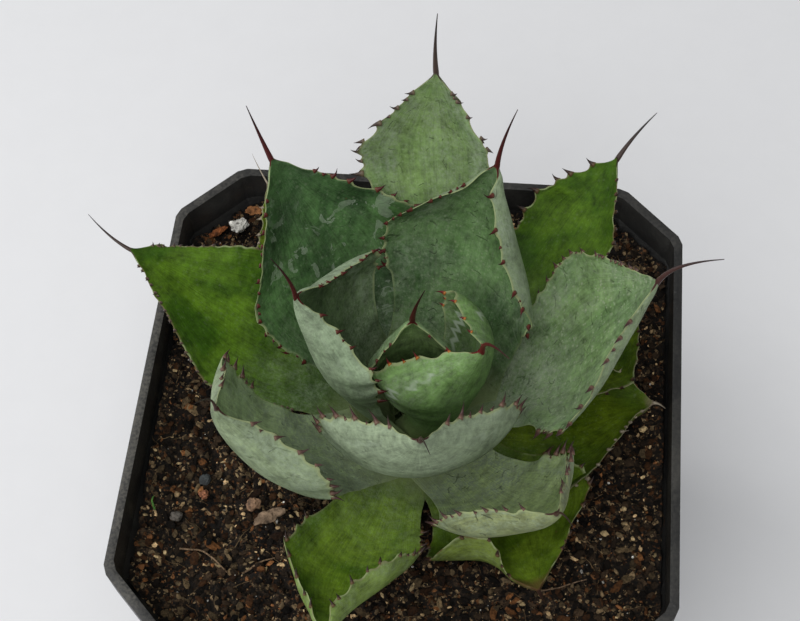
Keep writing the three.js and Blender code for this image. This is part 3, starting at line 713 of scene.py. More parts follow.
def blade_point(leaf, s, t, depth=0.0, reach=0.0):
    """Point of the blade, s along and t across (-1 right margin, 1 left margin), depth below its upper face
    and reach beyond its margin: each half is an arc of its half width that turns through the cup angle, to
    which a fold adds a bell curve along the length. Also gives the directions outward in the blade, out of
    its upper face and along it."""
    along, left, face = leaf_frame(leaf, s)
    curl = np.maximum(np.radians(lerp(*leaf["cup"], s)), 0.02)
    side, middle, spread, angle = leaf.get("fold", (1, 0, 1, 0))
    curl = curl + math.radians(angle) * np.exp(-((s - middle) / spread) ** 2) * (np.sign(t) == side)
    radius = (half_width(leaf, s) * (1 + leaf["lean"] * np.tanh(3 * t)) / curl)[..., None]
    sine, cosine = np.sin(curl * t)[..., None], np.cos(curl * t)[..., None]
    outward = (left * cosine + face * sine) * np.sign(t)[..., None]
    normal = face * cosine - left * sine
    point = midrib(leaf, s) + left * radius * sine + face * radius * (1 - cosine)
    point = point + outward * np.asarray(reach)[..., None] - normal * np.asarray(depth)[..., None]
    return point, outward, normal, along


def tooth_rows(leaf, settings, chance):
    """Where the teeth stand: each margin's row closes up towards the tip, with a little scatter, and small
    teeth come between some of the large ones. Gives along, side and size."""
    along, side, size = [], [], []
    for hand, (first, last, pitch, scale) in zip((1, -1), leaf["teeth"]):
        count = max(3, round((last - first) * leaf["length"] / (pitch * settings.crowding)))
        share = (np.arange(count) + 0.5 + chance.uniform(-0.24, 0.24, count)) / count
        main = lerp(first, last, 1 - (1 - share) ** 1.25)
        small = (main[1:] + main[:-1]) / 2 + chance.uniform(-0.005, 0.005, count - 1)
        small = small[chance.random(count - 1) < 0.4]
        along += [main, small]
        size += [scale * chance.uniform(0.7, 1.2, count) * lerp(1.0, 0.75, share),
                 scale * chance.uniform(0.25, 0.5, len(small))]
        side += [np.full(count + len(small), hand)]
    return np.concatenate(along), np.concatenate(side), np.concatenate(size)


def make_blade(leaf, teeth, settings, chance):
    """One leaf's blade: closed rings across it from foot to tip. Round each ring t runs as -cos from the
    right margin over the upper face to the left one and back underneath, so that points gather at the
    margins. The last twentieth is drawn in under the end spine, teats rise under the teeth as bell curves,
    and the margin weaves in and out of the face by a sum of sines."""
    along, side, size = teeth
    rows, columns = settings.rows, settings.columns
    turn = np.linspace(0, 2 * np.pi, 2 * columns, endpoint=False)
    s, angle = np.meshgrid(np.linspace(0, 1, rows), turn, indexing="ij")
    t = -np.cos(angle)
    lower = np.sin(angle) < 0
    drawn_in = smooth_step(s, 0.955, 1.0)
    thick = lerp(BLADE["thick"], BLADE["tip"], s) * (1 - 0.3 * drawn_in)
    rounding = np.sqrt(np.clip(1 - t ** 6, 0, 1))
    below = BLADE["edge"] * (0.5 + 0.5 * rounding) + (thick - BLADE["edge"]) * (1 - t * t)
    depth = np.where(lower, below, BLADE["edge"] * 0.5 * (1 - rounding))
    teat = np.zeros_like(s)
    for hand in (1, -1):
        mine = side == hand
        apart = (s[..., None] - along[mine]) * leaf["length"] / (0.62 + 0.5 * size[mine])
        bell = (size[mine] * np.exp(-apart ** 2)).sum(-1)
        teat += np.where(np.sign(t) == hand, bell, 0)
    near_margin = np.abs(t) ** 10
    reach = near_margin * (teat * settings.teat / MM)
    phase = chance.uniform(0, 2 * np.pi, 6)
    hand = np.where(t > 0, 0, 3)
    weave = sum(np.sin(2 * np.pi * turns * s + phase[k + hand]) for k, turns in enumerate((2.3, 4.1, 6.7)))
    body = smooth_step(s, 0.1, 0.4) * (1 - smooth_step(s, 0.9, 1.0))
    ripple = 0.12 * np.sin(2 * np.pi * 3.1 * s + 4 * t + phase[1]) * body
    depth = depth + (np.abs(t) ** 2.5 * weave * settings.wave / MM / 2 + ripple) * body
    points, _, _, _ = blade_point(leaf, s, t * (1 - 0.6 * drawn_in), depth, reach)
    ends = np.stack([points[0].mean(0), points[-1].mean(0)])
    quads, fans = ring_faces(rows, 2 * columns, True)
    across = np.concatenate([np.stack([(t + 1) / 2, s], -1).reshape(-1, 2), [[0.5, 0.0], [0.5, 1.0]]])
    under = np.where(lower, 1.0, np.where(np.abs(t) > 0.9999, 0.5, 0.0))
    numbers = {"under": np.append(under, [0.5, 0.5]), "teat": np.append(teat * near_margin, [0, 0])}
    points = np.concatenate([points.reshape(-1, 3), ends])
    return make_piece(leaf["name"] + "_blade", points * MM, quads, fans,
                      numbers=numbers, across=across)


def make_horns(leaf, teeth, settings, chance):
    """One leaf's teeth and end spine. A tooth leaves its teat outwards and hooks along the leaf with the
    square of its length; the end spine is a curve that starts along the midrib and turns to its own way."""
    along, side, size = teeth
    reach = size * settings.teat / MM * 0.8
    root, out, normal, ahead = blade_point(leaf, along, side.astype(float), np.full(len(along), 0.30), reach)
    k = np.linspace(-0.28, 1, 7)[None, :, None]
    length = (size * settings.tooth / MM)[:, None, None]
    hook = chance.normal(0.12, 0.34, len(along))[:, None, None]
    lift = chance.normal(0.05, 0.16, len(along))[:, None, None]
    bend = np.clip(k, 0, 1) ** 2
    way = out[:, None] * k + ahead[:, None] * hook * bend + normal[:, None] * lift * bend
    paths = root[:, None] + length * way
    grown = np.clip((1 - k[..., 0]) / 1.28, 0, 1)
    stout = settings.tooth_root / MM * (0.45 + 0.55 * size[:, None])
    points, quads, fans, place = tubes(paths, stout * grown ** 1.35 + 0.035, 8, 0.72, normal)

    tip, _, _, _ = blade_point(leaf, np.array([1.0]), np.array([0.0]), np.array([BLADE["tip"] / 2]))
    ahead, _, face = (axis[0] for axis in leaf_frame(leaf, np.array([1.0])))
    slope = math.asin(ahead[2]) + math.radians(leaf["spine"][1])
    bearing = math.atan2(ahead[1], ahead[0]) + math.radians(leaf["spine"][0])
    level = math.cos(slope)
    end_way = np.array([math.cos(bearing) * level, math.sin(bearing) * level, math.sin(slope)])
    long = leaf["spine"][2]
    k = np.linspace(-0.16, 1, 26)[:, None]
    ahead_of_tip = np.clip(k, 0, 1)
    curve = 2 * (1 - ahead_of_tip) * ahead_of_tip * 0.42 * long * ahead + ahead_of_tip ** 2 * long * end_way
    path = tip[0] + curve + np.minimum(k, 0) * long * ahead
    stout = leaf["stout"] * (BLADE["spine"] * 0.55 * (1 - ahead_of_tip[:, 0]) ** 1.1 + 0.08)
    stout = stout * smooth_step(k[:, 0], -0.35, -0.02)
    spine = tubes(path[None], stout[None], 14, 0.86, face[None])
    start = len(points)
    points = np.concatenate([points, spine[0]])
    quads = np.concatenate([quads, spine[1] + start])
    fans = np.concatenate([fans, spine[2] + start])
    shown = np.concatenate([place, 0.30 + 0.70 * spine[3]])
    return make_piece(leaf["name"] + "_spines", points * MM, quads, fans, numbers={"along": shown})


# ---- soil ----

def inside_outline(u, v, half, corner):
    """Carries the square -1..1 onto a square of that half width with its corners cut off. The square ring
    where the greater of |u| and |v| is m goes to the outline shrunk by m: what is past a cut is drawn
    straight back to it."""
    x, y = u * half, v * half
    ring = np.maximum(np.abs(u), np.abs(v))
    back = np.minimum(1.0, ring * (2 * half - corner) / np.maximum(np.abs(x) + np.abs(y), 1e-9))
    return x * back, y * back


def crumb_domes(x, y, cell, seed):
    """Domes on a jittered square grid, the highest at each place: its height and its random tint."""
    chance = np.random.default_rng(seed)
    wrap = 256
    shift_x, shift_y, spread, tint = chance.random((4, wrap, wrap))
    column, row = np.floor(x / cell).astype(int), np.floor(y / cell).astype(int)
    height, shown = np.zeros_like(x), np.zeros_like(x)
    for across in (-1, 0, 1):
        for up in (-1, 0, 1):
            i, j = (column + across) % wrap, (row + up) % wrap
            far = np.hypot(
                x - (column + across + shift_x[i, j]) * cell, y - (row + up + shift_y[i, j]) * cell)
            radius = cell * (0.40 + 0.45 * spread[i, j])
            # lighter crumbs stand taller, and where no dome stands the tint stays 0: the soil's skin paints
            # these low places near black as painted shade
            dome = radius * np.sqrt(np.clip(1 - (far / radius) ** 2, 0, 1)) * (0.55 + 0.6 * tint[i, j])
            shown = np.where(dome > height, tint[i, j], shown)
            height = np.maximum(height, dome)
    return height, shown


# The crumbs of the soil's surface: the width of their grid in millimetres, their seed, how much of their
# height they add and their share of the tint. BED is how far the ground under them is lowered to suit.
CRUMBS = [(3.9, 11, 0.55, 0.25), (1.9, 12, 0.85, 0.35), (0.95, 13, 0.90, 0.40)]
BED = 2.1
DISH = {"depth": 4.0, "floor": 20, "edge": 41}  # the hollow round the rosette, in millimetres


def soil_surface(x, y):
    """Height of the soil, and its tint: level, dished round the rosette as in the frame and banked up against
    the pot, with slow swells and three sizes of crumbs. x and y are in millimetres."""
    out = np.hypot(x - PLANT[0] / MM, y - PLANT[1] / MM)
    level = SOIL_HIGH[2] / MM - DISH["depth"] * (1 - smooth_step(out, DISH["floor"], DISH["edge"]))
    bank = 1.3 * smooth_step(np.maximum(np.abs(x), np.abs(y)), 47, 57)
    swell = 0.7 * np.sin(x / 9.3 + 1.1) * np.cos(y / 11.7) + 0.4 * np.sin(x / 4.1 + y / 5.3)
    height, tint = level + bank + swell, 0
    for cell, seed, raised, shown in CRUMBS:
        domes, tints = crumb_domes(x, y, cell, seed)
        height, tint = height + raised * domes, tint + shown * tints
    return height - BED, tint


def make_soil(settings):
    """The soil: a square grid drawn in to the pot's outline and raised to the surface, then rings of wall
    that taper to the bottom, closed by a fan."""
    half = SOIL_HIGH[0] / MM + 0.3  # just into the pot's wall, so that no gap shows
    corner = 12.9
    top_share, bottom_share = 0.978, 0.735  # the walls' widths, as shares of the surface's
    cells = int(2 * half / (settings.step / MM))
    u, v = np.meshgrid(np.linspace(-1, 1, cells), np.linspace(-1, 1, cells), indexing="ij")
    x, y = inside_outline(u, v, half, corner)
    height, tint = soil_surface(x, y)
    top = np.stack([x, y, height], -1).reshape(-1, 3)
    index = np.arange(cells * cells).reshape(cells, cells)
    border = np.concatenate([index[:, 0], index[-1, 1:], index[-2::-1, -1], index[0, -2:0:-1]])
    bottom = SOIL_LOW[2] / MM
    levels = 8
    falls = np.linspace(0.03, 1, levels)[:, None, None]
    edge = top[border][None]
    rings = edge * [1.0, 1.0, 0.0] * lerp(top_share, bottom_share, falls)
    rings[..., 2] = lerp(edge[..., 2], bottom, falls[..., 0])
    points = np.concatenate([top, rings.reshape(-1, 3), [[0, 0, bottom]]])
    row = len(border)
    names = np.concatenate([border[None], len(top) + np.arange(levels * row).reshape(levels, row)])
    upper, lower = names[:-1], names[1:]
    walls = np.stack([upper, lower, np.roll(lower, -1, 1), np.roll(upper, -1, 1)], -1).reshape(-1, 4)
    quads = np.concatenate([grid_quads(cells, cells, False)[:, ::-1], walls])
    fan = cap_triangles(names[-1], len(points) - 1, False)
    tints = np.concatenate([tint.ravel(), np.full(levels * row + 1, 0.4)])
    piece = make_piece(
        "potting_soil_surface", points * MM, quads, fan, numbers={"tint": tints})
    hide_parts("potting_soil")
    return piece


def soil_material(settings):
    """Damp peat: near black in the hollows, as painted shade where the tint is low, brown on the crumbs, with
    rusty and tan specks.
    """
    material, graph, shader = new_material("damp potting soil", 0.3)
    place = graph.place()
    tint = graph.attribute("tint")
    fine = graph.noise(place, 1500.0, 5.0, 0.7)
    dark = tuple(0.35 * value for value in settings.peat)
    brown = tuple(3.2 * value for value in settings.peat)
    # painted shade: where the tint is low, in the gaps between crumbs and on the lowest crumbs, the soil is
    # near black
    soil = graph.blend(graph.step(tint, 0.28, 0.62), dark, settings.peat[:])
    soil = graph.blend(graph.step(graph.plus(tint, graph.about(fine, 0.6)), 0.55, 0.85), soil, brown)
    pick = graph.parts(graph.cells(place, 1500.0, "Color"))
    soil = graph.blend(graph.step(pick[2], 0.45, 0.8, 0.0, 0.7), soil, dark)
    soil = graph.blend(graph.step(pick[0], 0.86, 0.93, 0.0, 0.8), soil, settings.rust[:])
    soil = graph.blend(graph.step(pick[1], 0.90, 0.96, 0.0, 0.8), soil, settings.tan[:])
    soil = graph.shade(soil, graph.step(fine, 0.36, 0.66, 0.10, 2.3))
    finish_surface(graph, shader, soil, graph.step(fine, 0.3, 0.7, 0.60, 0.95), fine, 1.2 * MM, 1.0)
    return material


def base_stone():
    """Points and triangles of a round stone of 12 points."""
    shape = bmesh.new()
    bmesh.ops.create_icosphere(shape, subdivisions=1, radius=1.0)
    points = np.array([vertex.co[:] for vertex in shape.verts])
    faces = np.array([[vertex.index for vertex in face.verts] for face in shape.faces])
    shape.free()
    return points, faces


def random_turns(chance, count):
    """Random rotation matrices, from random unit quaternions."""
    w, x, y, z = unit(chance.normal(size=(count, 4))).T
    rows = [1 - 2 * (y * y + z * z), 2 * (x * y - w * z), 2 * (x * z + w * y),
            2 * (x * y + w * z), 1 - 2 * (x * x + z * z), 2 * (y * z - w * x),
            2 * (x * z - w * y), 2 * (y * z + w * x), 1 - 2 * (x * x + y * y)]
    return np.stack(rows, -1).reshape(count, 3, 3)


def spots_on_soil(chance, count, keep_out=9.0):
    """Random places on the soil, clear of the stem: x, y and the soil's height."""
    half = SOIL_HIGH[0] / MM - 0.9
    corner = 13.0
    u, v = chance.uniform(-1, 1, (2, count))
    x, y = inside_outline(u, v, half, corner)
    clear = np.hypot(x - PLANT[0] / MM, y - PLANT[1] / MM) > keep_out
    x, y = x[clear], y[clear]
    return x, y, soil_surface(x, y)[0]


def make_grains(name, count, sizes, shape, seed, colours):
    """Loose grains lying on the soil: each is the base stone with its points pushed in and out at random,
    then stretched, turned and set down. shape stretches it, sizes bound its radius, colours are picked
    from. Flat grains lie on their flat side, the others any way round."""
    sink = 0.25  # the share of a grain that is below the soil's surface
    chance = np.random.default_rng(seed)
    x, y, z = spots_on_soil(chance, count)
    count = len(x)
    stone, faces = base_stone()
    radius = sizes[0] + (sizes[1] - sizes[0]) * chance.random(count) ** 3.0
    lumps = chance.uniform(0.68, 1.22, (count, len(stone), 1))
    stretch = np.array(shape) * chance.uniform(0.75, 1.3, (count, 3))
    local = stone * lumps * stretch[:, None] * radius[:, None, None]
    lean = chance.normal(0, 0.30, (count, 2))
    turn = chance.uniform(0, 2 * np.pi, count)
    flat = shape[0] > 1.4 * shape[2]
    if flat:
        turns = np.stack([np.stack([np.cos(turn), -np.sin(turn), lean[:, 0]], -1),
                          np.stack([np.sin(turn), np.cos(turn), lean[:, 1]], -1),
                          np.stack([-lean[:, 0], -lean[:, 1], np.ones(count)], -1)], 1)
    else:
        turns = random_turns(chance, count)
    local = np.einsum("nij,nvj->nvi", turns, local)
    low = local[:, :, 2].min(1)
    centre = np.stack([x, y, z - low * (1 - sink) - radius * sink], -1)
    points = local + centre[:, None]
    faces = (faces[None] + np.arange(count)[:, None, None] * len(stone)).reshape(-1, 3)
    palette = np.array(colours)
    grain = palette[chance.integers(0, len(palette), count)] * chance.uniform(0.55, 1.35, (count, 1))
    tint = np.repeat(np.clip(grain, 0, 1), len(stone), 0)
    return make_piece(name, points.reshape(-1, 3) * MM, np.zeros((0, 4), int), faces, smooth=False,
                      colours={"tint": tint})


def grain_material(name, scale, depth, specular=0.3, rough=0.85):
    """Stone, bark or peat: each grain's own tint, broken up by a fine grain, with near black spots of painted
    shade in its small hollows.
    """
    material, graph, shader = new_material(name, specular)
    place = graph.place()
    fine = graph.noise(place, scale, 5.0, 0.7)
    grain = graph.shade(graph.attribute("tint", "Color"), graph.step(fine, 0.3, 0.7, 0.45, 1.5))
    # painted shade: near black spots where the grain has small hollows
    pore_shade = graph.step(graph.cells(place, scale * 0.8), 0.10, 0.34, 0.7, 0.0)
    grain = graph.blend(pore_shade, grain, (0.02, 0.013, 0.008))
    finish_surface(graph, shader, grain, rough, fine, depth, 1.0)
    return material


def make_fibres(name, starts, headings, lengths, radius, colours, chance):
    """Fine fibres on the soil: each path's heading drifts by a running sum of small turns, and it rides a
    little above the soil's surface."""
    height = 0.15
    count, rings = len(lengths), 14
    drift = np.cumsum(chance.normal(0, 0.20, (count, rings)), 1)
    heading = headings[:, None] + drift
    stride = (lengths / (rings - 1))[:, None]
    x = starts[:, :1] + np.cumsum(np.cos(heading) * stride, 1)
    y = starts[:, 1:] + np.cumsum(np.sin(heading) * stride, 1)
    z = soil_surface(x, y)[0]
    z = (z + np.roll(z, 1, 1) + np.roll(z, -1, 1)) / 3
    z[:, 0], z[:, -1] = z[:, 1] - 0.3, z[:, -2] - 0.2
    paths = np.stack([x, y, z + height + 0.5 * np.sin(np.linspace(0, np.pi, rings))], -1)
    radii = radius * chance.uniform(0.6, 1.4, (count, 1)) * np.linspace(1, 0.45, rings)
    points, quads, fans, _ = tubes(paths, radii, 6)
    share = np.repeat(chance.random(count), len(points) // count)[:, None]
    tint = lerp(*colours, share)
    return make_piece(name, points * MM, quads, fans, colours={"tint": tint})


def make_strands(name, routes, radius, colours):
    """Strands that lie along routes on the soil: each route is resampled evenly, smoothed by a moving mean,
    laid a little above the soil and given a tapered tube."""
    rings = 26
    paths = []
    for route in routes:
        knots = np.array(route, float)
        run = np.append(0, np.cumsum(np.linalg.norm(np.diff(knots, axis=0), axis=1)))
        even = np.linspace(0, run[-1], rings)
        x, y = (np.interp(even, run, knots[:, axis]) for axis in range(2))
        for _ in range(3):
            x[1:-1] = (x[:-2] + x[1:-1] + x[2:]) / 3
            y[1:-1] = (y[:-2] + y[1:-1] + y[2:]) / 3
        z = soil_surface(x, y)[0]
        z = np.convolve(np.pad(z, 4, mode="edge"), np.ones(9) / 9, "valid")
        paths.append(np.stack([x, y, z + 0.9 + 0.9 * np.sin(np.linspace(0, np.pi, rings))], -1))
    radii = radius * np.linspace(1, 0.55, rings) * np.ones((len(routes), 1))
    points, quads, fans, place = tubes(np.array(paths), radii, 8)
    tint = lerp(*colours, place[:, None])
    return make_piece(name, points * MM, quads, fans, colours={"tint": tint})


# ---- pieces by operator ----

class MakeStage(bpy.types.Operator):
    """Sets the floor, the soft lights and the camera"""
    bl_idname = "agave.make_stage"
    bl_label = "Stage"

    def execute(self, context):
        settings = context.scene.agave_studio
        self.make_floor(settings)
        self.make_camera(context, settings)
        self.make_lights(context, settings)
        return {"FINISHED"}

    def make_floor(self, settings):
        reach = 4.0
        mesh = bpy.data.meshes.new("floor")
        corners = [(-reach, -reach, 0), (reach, -reach, 0), (reach, reach, 0), (-reach, reach, 0)]
        mesh.from_pydata(corners, [], [(0, 1, 2, 3)])
        floor = bpy.data.objects.new("floor", mesh)
        bpy.context.scene.collection.objects.link(floor)
        material, graph, shader = new_material("pale floor", 0.2)
        paper = graph.noise(graph.place(), 90.0, 4.0, 0.6)
        tone = graph.shade(settings.floor[:], graph.plus(graph.times(paper, 0.04), 0.98))
        finish_surface(graph, shader, tone, 0.9, paper, 0.1 * MM, 0.3)
        mesh.materials.append(material)

    def make_camera(self, context, settings):
        """The camera looks along a line through the centre of the rim, and is then shifted and rolled."""
        azimuth, elevation, roll = (
            math.radians(value) for value in (settings.azimuth, settings.elevation, settings.roll))
        flat = math.cos(elevation)
        back = Vector((math.sin(azimuth) * flat, -math.cos(azimuth) * flat, math.sin(elevation)))
        level = Vector((math.cos(azimuth), math.sin(azimuth), 0))
        upright = back.cross(level)
        right = level * math.cos(roll) + upright * math.sin(roll)
        above = upright * math.cos(roll) - level * math.sin(roll)
        spot = Vector((0, 0, RIM)) + back * settings.distance
        spot = spot + right * settings.right + above * settings.raised
        lens = bpy.data.cameras.new("camera")
        lens.sensor_width = 36
        lens.lens = settings.lens
        lens.clip_start, lens.clip_end = 0.01, 50
        camera = bpy.data.objects.new("camera", lens)
        turned = Matrix((right, above, back)).transposed().to_4x4()
        camera.matrix_world = Matrix.Translation(spot) @ turned
        context.scene.collection.objects.link(camera)
        context.scene.camera = camera

    def make_lights(self, context, settings):
        context.scene.view_settings.view_transform = "Standard"
        world = bpy.data.worlds.new("soft room")
        world.use_nodes = True
        sky = world.node_tree.nodes["Background"]
        sky.inputs["Color"].default_value = (0.95, 0.975, 1.0, 1.0)
        sky.inputs["Strength"].default_value = settings.fill
        context.scene.world = world
        self.softbox("overhead", (-0.15, -0.60, 1.18), 1.1, settings.key)
        self.softbox("window", (-1.0, 0.15, 0.72), 0.8, settings.side)

    def softbox(self, name, spot, size, power):
        """A square soft light that faces the rosette."""
        light = bpy.data.lights.new(name, "AREA")
        light.size, light.energy = size, power
        lamp = bpy.data.objects.new(name, light)
        lamp.location = spot
        lamp.rotation_euler = (Vector((0, 0, RIM)) - Vector(spot)).to_track_quat("-Z", "Y").to_euler()
        bpy.context.scene.collection.objects.link(lamp)


class MakePot(bpy.types.Operator):
    """Makes the square nursery pot, with softened edges and scuffed plastic under dust that is painted
    lighter on its lit side
    """
    bl_idname = "agave.make_pot"
    bl_label = "Pot"

    def execute(self, context):
        settings = context.scene.agave_pot
        pot = merged_copy("nursery_pot", "nursery_pot_moulded")
        pot.data.polygons.foreach_set("use_smooth", np.full(len(pot.data.polygons), True))
        rounding = pot.modifiers.new("softened edges", "BEVEL")
        rounding.width = settings.edge
        rounding.segments = 3
        rounding.limit_method = "ANGLE"
        rounding.angle_limit = math.radians(17)
        rounding.harden_normals = True
        pot.data.materials.append(self.plastic(settings))
        return {"FINISHED"}

    def plastic(self, settings):
        """Black plastic with a fine moulded grain, dust and dried splashes on the rim and small scratches;
        the dust is painted heavier on the left front, as painted light where the window lights the pot.
        """
        material, graph, shader = new_material("black moulded plastic", 0.5)
        place = graph.place()
        spot = graph.parts(place)
        facing = graph.put("ShaderNodeNewGeometry").outputs["Normal"]
        upward = graph.step(graph.parts(facing)[2], 0.35, 0.9)
        cloud = graph.noise(place, 90.0, 6.0, 0.65, 0.6)
        speckle = graph.noise(place, 1300.0, 4.0, 0.7)
        # painted light: the top dust is heavier and lighter on the left front, the side the window lights
        towards_left_front = graph.less(graph.less(0.0, spot[0]), graph.times(spot[1], 0.6))
        lit_side = graph.step(towards_left_front, -0.05, 0.09, 0.30, 1.0)
        high = graph.step(spot[2], RIM - 14 * MM, RIM)
        top_dust_and_light = graph.times(
            upward, high, graph.step(cloud, 0.30, 0.62, 0.35, 1.0), lit_side,
            graph.step(speckle, 0.40, 0.60, 0.10, 1.5))
        outside = graph.times(graph.step(cloud, 0.50, 0.75), high, 0.22)
        splash = graph.times(graph.step(graph.cells(place, 330.0), 0.06, 0.16, 1.0, 0.0),
                             graph.step(graph.noise(place, 60.0), 0.50, 0.60), 0.5)
        dust_splashes_and_light = graph.plus(
            graph.times(top_dust_and_light, 0.42), graph.times(graph.plus(outside, splash, clamp=True), 0.35),
            graph.times(graph.step(cloud, 0.35, 0.65, 0.03, 0.16), high), clamp=True)
        plastic = graph.shade(settings.plastic[:], graph.plus(cloud, 0.55))
        plastic = graph.blend(dust_splashes_and_light, plastic, settings.dust[:])
        scratch = graph.noise(graph.stretched(place, (1.0, 1.0, 9.0)), 420.0, 2.0)
        scratch = graph.step(scratch, 0.68, 0.74, 0.0, 0.25)
        plastic = graph.blend(graph.times(scratch, high), plastic, (0.12, 0.12, 0.12))
        rough = graph.plus(graph.times(dust_splashes_and_light, 0.45), graph.step(speckle, 0.3, 0.7, 0.34, 0.50))
        finish_surface(graph, shader, plastic, rough, speckle, 0.10 * MM, 0.7)
        return material


class MakeSoil(bpy.types.Operator):
    """Makes the soil's surface, its loose grains and its fibres"""
    bl_idname = "agave.make_soil"
    bl_label = "Soil"

    def execute(self, context):
        settings = context.scene.agave_soil
        soil = make_soil(settings)
        soil.data.materials.append(soil_material(settings))
        peat, rust, tan, white = (
            np.array(tone) for tone in (settings.peat, settings.rust, settings.tan, settings.white))
        grit = grain_material("loose grit", 1100.0, 0.4 * MM)
        soft = grain_material("loose peat", 1500.0, 0.6 * MM, 0.2)
        foam = grain_material("perlite crumbs", 1300.0, 0.5 * MM, 0.2)
        rows = [
            ("peat_crumbs", "potting_soil", settings.crumbs, (0.20, 0.95), (1.35, 1.0, 0.65), 21, soft,
             [peat * 0.2, peat * 0.3, peat * 0.5, peat * 1.0, peat * 2.6, rust * 0.4, tan * 0.22]),
            ("bark_bits", "bark", settings.bark, (0.15, 1.15), (1.55, 0.85, 0.50), 22, soft,
             [rust * 0.5, rust * 0.2, rust * 0.3, peat * 2.2, rust * 1.5, tan * 0.5]),
            ("grit_bits", "pebble", settings.grit, (0.10, 0.70), (1.5, 0.95, 0.6), 23, grit,
             [tan * 2.0, tan * 0.9, tan * 0.45, tan * [1.5, 1.6, 1.6], rust * 2.2, tan * 0.6]),
            ("perlite_bits", "perlite", settings.perlite, (0.12, 0.55), (1.1, 1.0, 0.85), 24, foam,
             [white, white * 0.6]),
        ]
        for name, slot, count, sizes, shape, seed, material, colours in rows:
            make_grains(name, count, sizes, shape, seed, colours).data.materials.append(material)
        chance = np.random.default_rng(31)
        x, y, _ = spots_on_soil(chance, settings.fibres, 16.0)
        count = len(x)
        fibres = make_fibres("fibres", np.stack([x, y], -1), chance.uniform(0, 2 * np.pi, count),
                             chance.uniform(1.5, 8, count), 0.08, (rust * 0.6, tan * 0.8), chance)
        fibres.data.materials.append(soft)
        for strand in STRANDS:
            colours = [np.array(strand["colour"]) * share for share in (0.8, 1.15)]
            strand_piece = make_strands(strand["name"], strand["routes"], strand["radius"], colours)
            strand_piece.data.materials.append(soft)
        return {"FINISHED"}


class MakeLoosePieces(bpy.types.Operator):
    """Makes the larger loose pieces that lie on the soil"""
    bl_idname = "agave.make_loose_pieces"
    bl_label = "Loose pieces"

    TINTS = {
        "perlite_lump": (0.70, 0.68, 0.62), "bark_chip_back": (0.30, 0.130, 0.050),
        "bark_chip_left": (0.25, 0.085, 0.030), "bark_chip_front": (0.19, 0.130, 0.085),
        "pebble_tan": (0.27, 0.160, 0.095), "pebble_slate": (0.040, 0.045, 0.046),
        "pebble_beige": (0.42, 0.30, 0.18), "pebble_grey": (0.12, 0.105, 0.090),
        "brick_chip_right": (0.20, 0.065, 0.022), "brick_chip_left": (0.36, 0.15, 0.08),
    }

    def execute(self, context):
        materials = {
            "perlite": grain_material("perlite lump", 800.0, 0.7 * MM, 0.2),
            "bark": grain_material("bark chip", 650.0, 0.7 * MM, 0.2),
            "pebble": grain_material("pebble", 900.0, 0.35 * MM, 0.3, 0.7),
            "brick": grain_material("brick chip", 900.0, 0.5 * MM, 0.2),
        }
        for number_of, (node, tone) in enumerate(self.TINTS.items()):
            piece = self.roughened(node, number_of, tone, 0.13 if "pebble" in node else 0.20)
            piece.data.materials.append(materials[SLOTS[node]])
        return {"FINISHED"}

    def roughened(self, node, seed, tone, rough):
        """The frame's piece, subdivided, its points pushed in and out from its centre by a sum of sines."""
        piece = merged_copy(node, node + "_rough")
        finer = piece.modifiers.new("finer", "SUBSURF")
        finer.levels = finer.render_levels = 3
        baked = bpy.data.meshes.new_from_object(piece.evaluated_get(bpy.context.evaluated_depsgraph_get()))
        piece.modifiers.clear()
        points = np.empty(3 * len(baked.vertices), np.float32)
        baked.vertices.foreach_get("co", points)
        points = points.reshape(-1, 3).astype(float)
        low, high = (np.array(corner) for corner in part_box(node))
        centre, size = (low + high) / 2, (high - low).max()
        chance = np.random.default_rng(40 + seed)
        waves = chance.normal(0, 1, (14, 3)) * np.geomspace(5, 30, 14)[:, None] / size
        phases = chance.uniform(0, 2 * np.pi, 14)
        lumps = (np.sin(points @ waves.T + phases) * np.geomspace(0.5, 0.14, 14)).sum(1)
        points = centre + (points - centre) * (1 + rough * lumps)[:, None]
        now = points.max(0) - points.min(0)
        points = (points - (points.max(0) + points.min(0)) / 2) * (high - low) / now + centre
        baked.vertices.foreach_set("co", points.astype(np.float32).ravel())
        tint = np.tile([*tone, 1.0], (len(points), 1)).astype(np.float32)
        # the tint is lighter where the points are pushed out and darker where they are pushed in: painted
        # light on the bumps and painted shade in the dents
        tint[:, :3] *= (1 + 0.18 * lumps[:, None]).clip(0.5, 1.4)
        baked.attributes.new("tint", "FLOAT_COLOR", "POINT").data.foreach_set("color", tint.ravel())
        baked.polygons.foreach_set("use_smooth", np.full(len(baked.polygons), True))
        piece.data = baked
        return piece


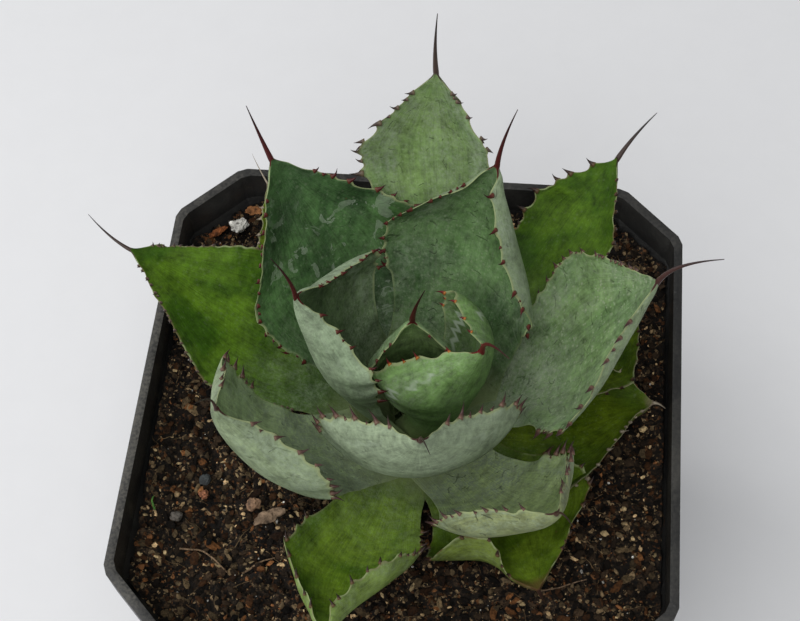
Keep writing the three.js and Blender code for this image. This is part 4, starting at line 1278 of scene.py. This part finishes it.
class MakeStem(bpy.types.Operator):
    """Makes the short stem with the scars of shed leaves"""
    bl_idname = "agave.make_stem"
    bl_label = "Stem"

    def execute(self, context):
        rows, sides = 120, 72
        low, high = STEM_LOW / MM, STEM_HIGH / MM
        middle = (low + high) / 2
        around = np.linspace(0, 2 * np.pi, sides, endpoint=False)
        share, angle = np.meshgrid(np.linspace(0.004, 0.996, rows), around, indexing="ij")
        height = lerp(low[2], high[2], share)
        heights = [0, 0.13, 0.34, 0.55, 0.68, 0.77, 0.85, 0.92, 1]
        girths = [0.1, 0.45, 0.67, 0.86, 0.98, 0.95, 0.74, 0.46, 0.05]
        girth = (high[0] - low[0]) / 2 * np.interp(share, heights, girths)
        scars = 0.35 * np.abs(np.sin(2.1 * height + 0.8 * np.sin(3 * angle))) ** 3
        radius = np.maximum(girth * 0.97 - scars + 0.1 * np.sin(17 * angle), 0.2)
        x, y = middle[0] + radius * np.cos(angle), middle[1] + radius * np.sin(angle)
        ends = [[middle[0], middle[1], low[2]], [middle[0], middle[1], high[2]]]
        points = np.concatenate([np.stack([x, y, height], -1).reshape(-1, 3), ends])
        quads, fans = ring_faces(rows, sides, False)
        piece = make_piece("stem_with_scars", points * MM, quads, fans,
                           numbers={"scar": np.append(scars.ravel(), [0, 0])})
        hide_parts("stem")
        material, graph, shader = new_material("stem skin", 0.3)
        fibre = graph.noise(graph.stretched(graph.place(), (1.0, 1.0, 0.2)), 900.0, 4.0, 0.6)
        skin = graph.blend(graph.step(fibre, 0.35, 0.65), (0.20, 0.24, 0.10), (0.34, 0.36, 0.20))
        skin = graph.blend(graph.step(graph.attribute("scar"), 0.12, 0.3), skin, (0.16, 0.10, 0.05))
        finish_surface(graph, shader, skin, 0.75, fibre, 0.3 * MM, 0.8)
        piece.data.materials.append(material)
        return {"FINISHED"}


class MakeLeaves(bpy.types.Operator):
    """Makes the leaves, with their teeth and end spines"""
    bl_idname = "agave.make_leaves"
    bl_label = "Leaves"

    def execute(self, context):
        settings = context.scene.agave_leaves
        group = skin_group()
        horns = {name: horn_material(name, colours) for name, colours in HORNS.items()}
        for number_in_rosette, leaf in enumerate(LEAVES):
            chance = np.random.default_rng(100 + number_in_rosette)
            teeth = tooth_rows(leaf, settings, chance)
            blade = make_blade(leaf, teeth, settings, chance)
            blade.data.materials.append(leaf_material(leaf, number_in_rosette, group, settings))
            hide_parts(leaf["name"])
            spines = make_horns(leaf, teeth, settings, chance)
            spines.data.materials.append(horns[leaf["horn"]])
        return {"FINISHED"}


class AgavePanel(bpy.types.Panel):
    """Lists the steps that build the plant"""
    bl_idname = "VIEW3D_PT_agave"
    bl_label = "Potted agave"
    bl_space_type = "VIEW_3D"
    bl_region_type = "UI"
    bl_category = "Agave"

    def draw(self, context):
        for step in STEPS:
            self.layout.operator(step.bl_idname)
        for label, kind in SETTINGS.items():
            box = self.layout.box()
            for entry in kind.__annotations__:
                box.prop(getattr(context.scene, label), entry)


STEPS = [MakeStage, MakePot, MakeSoil, MakeLoosePieces, MakeStem, MakeLeaves]


def register():
    for kind in (*SETTINGS.values(), *STEPS, AgavePanel):
        bpy.utils.register_class(kind)
    for label, kind in SETTINGS.items():
        setattr(bpy.types.Scene, label, bpy.props.PointerProperty(type=kind))


def unregister():
    for label in SETTINGS:
        delattr(bpy.types.Scene, label)
    for kind in reversed((*SETTINGS.values(), *STEPS, AgavePanel)):
        bpy.utils.unregister_class(kind)


def main():
    register()
    bpy.ops.agave.make_stage()
    bpy.ops.agave.make_pot()
    bpy.ops.agave.make_soil()
    bpy.ops.agave.make_loose_pieces()
    bpy.ops.agave.make_stem()
    bpy.ops.agave.make_leaves()
    bpy.context.view_layer.update()


if __name__ == "__main__":
    main()
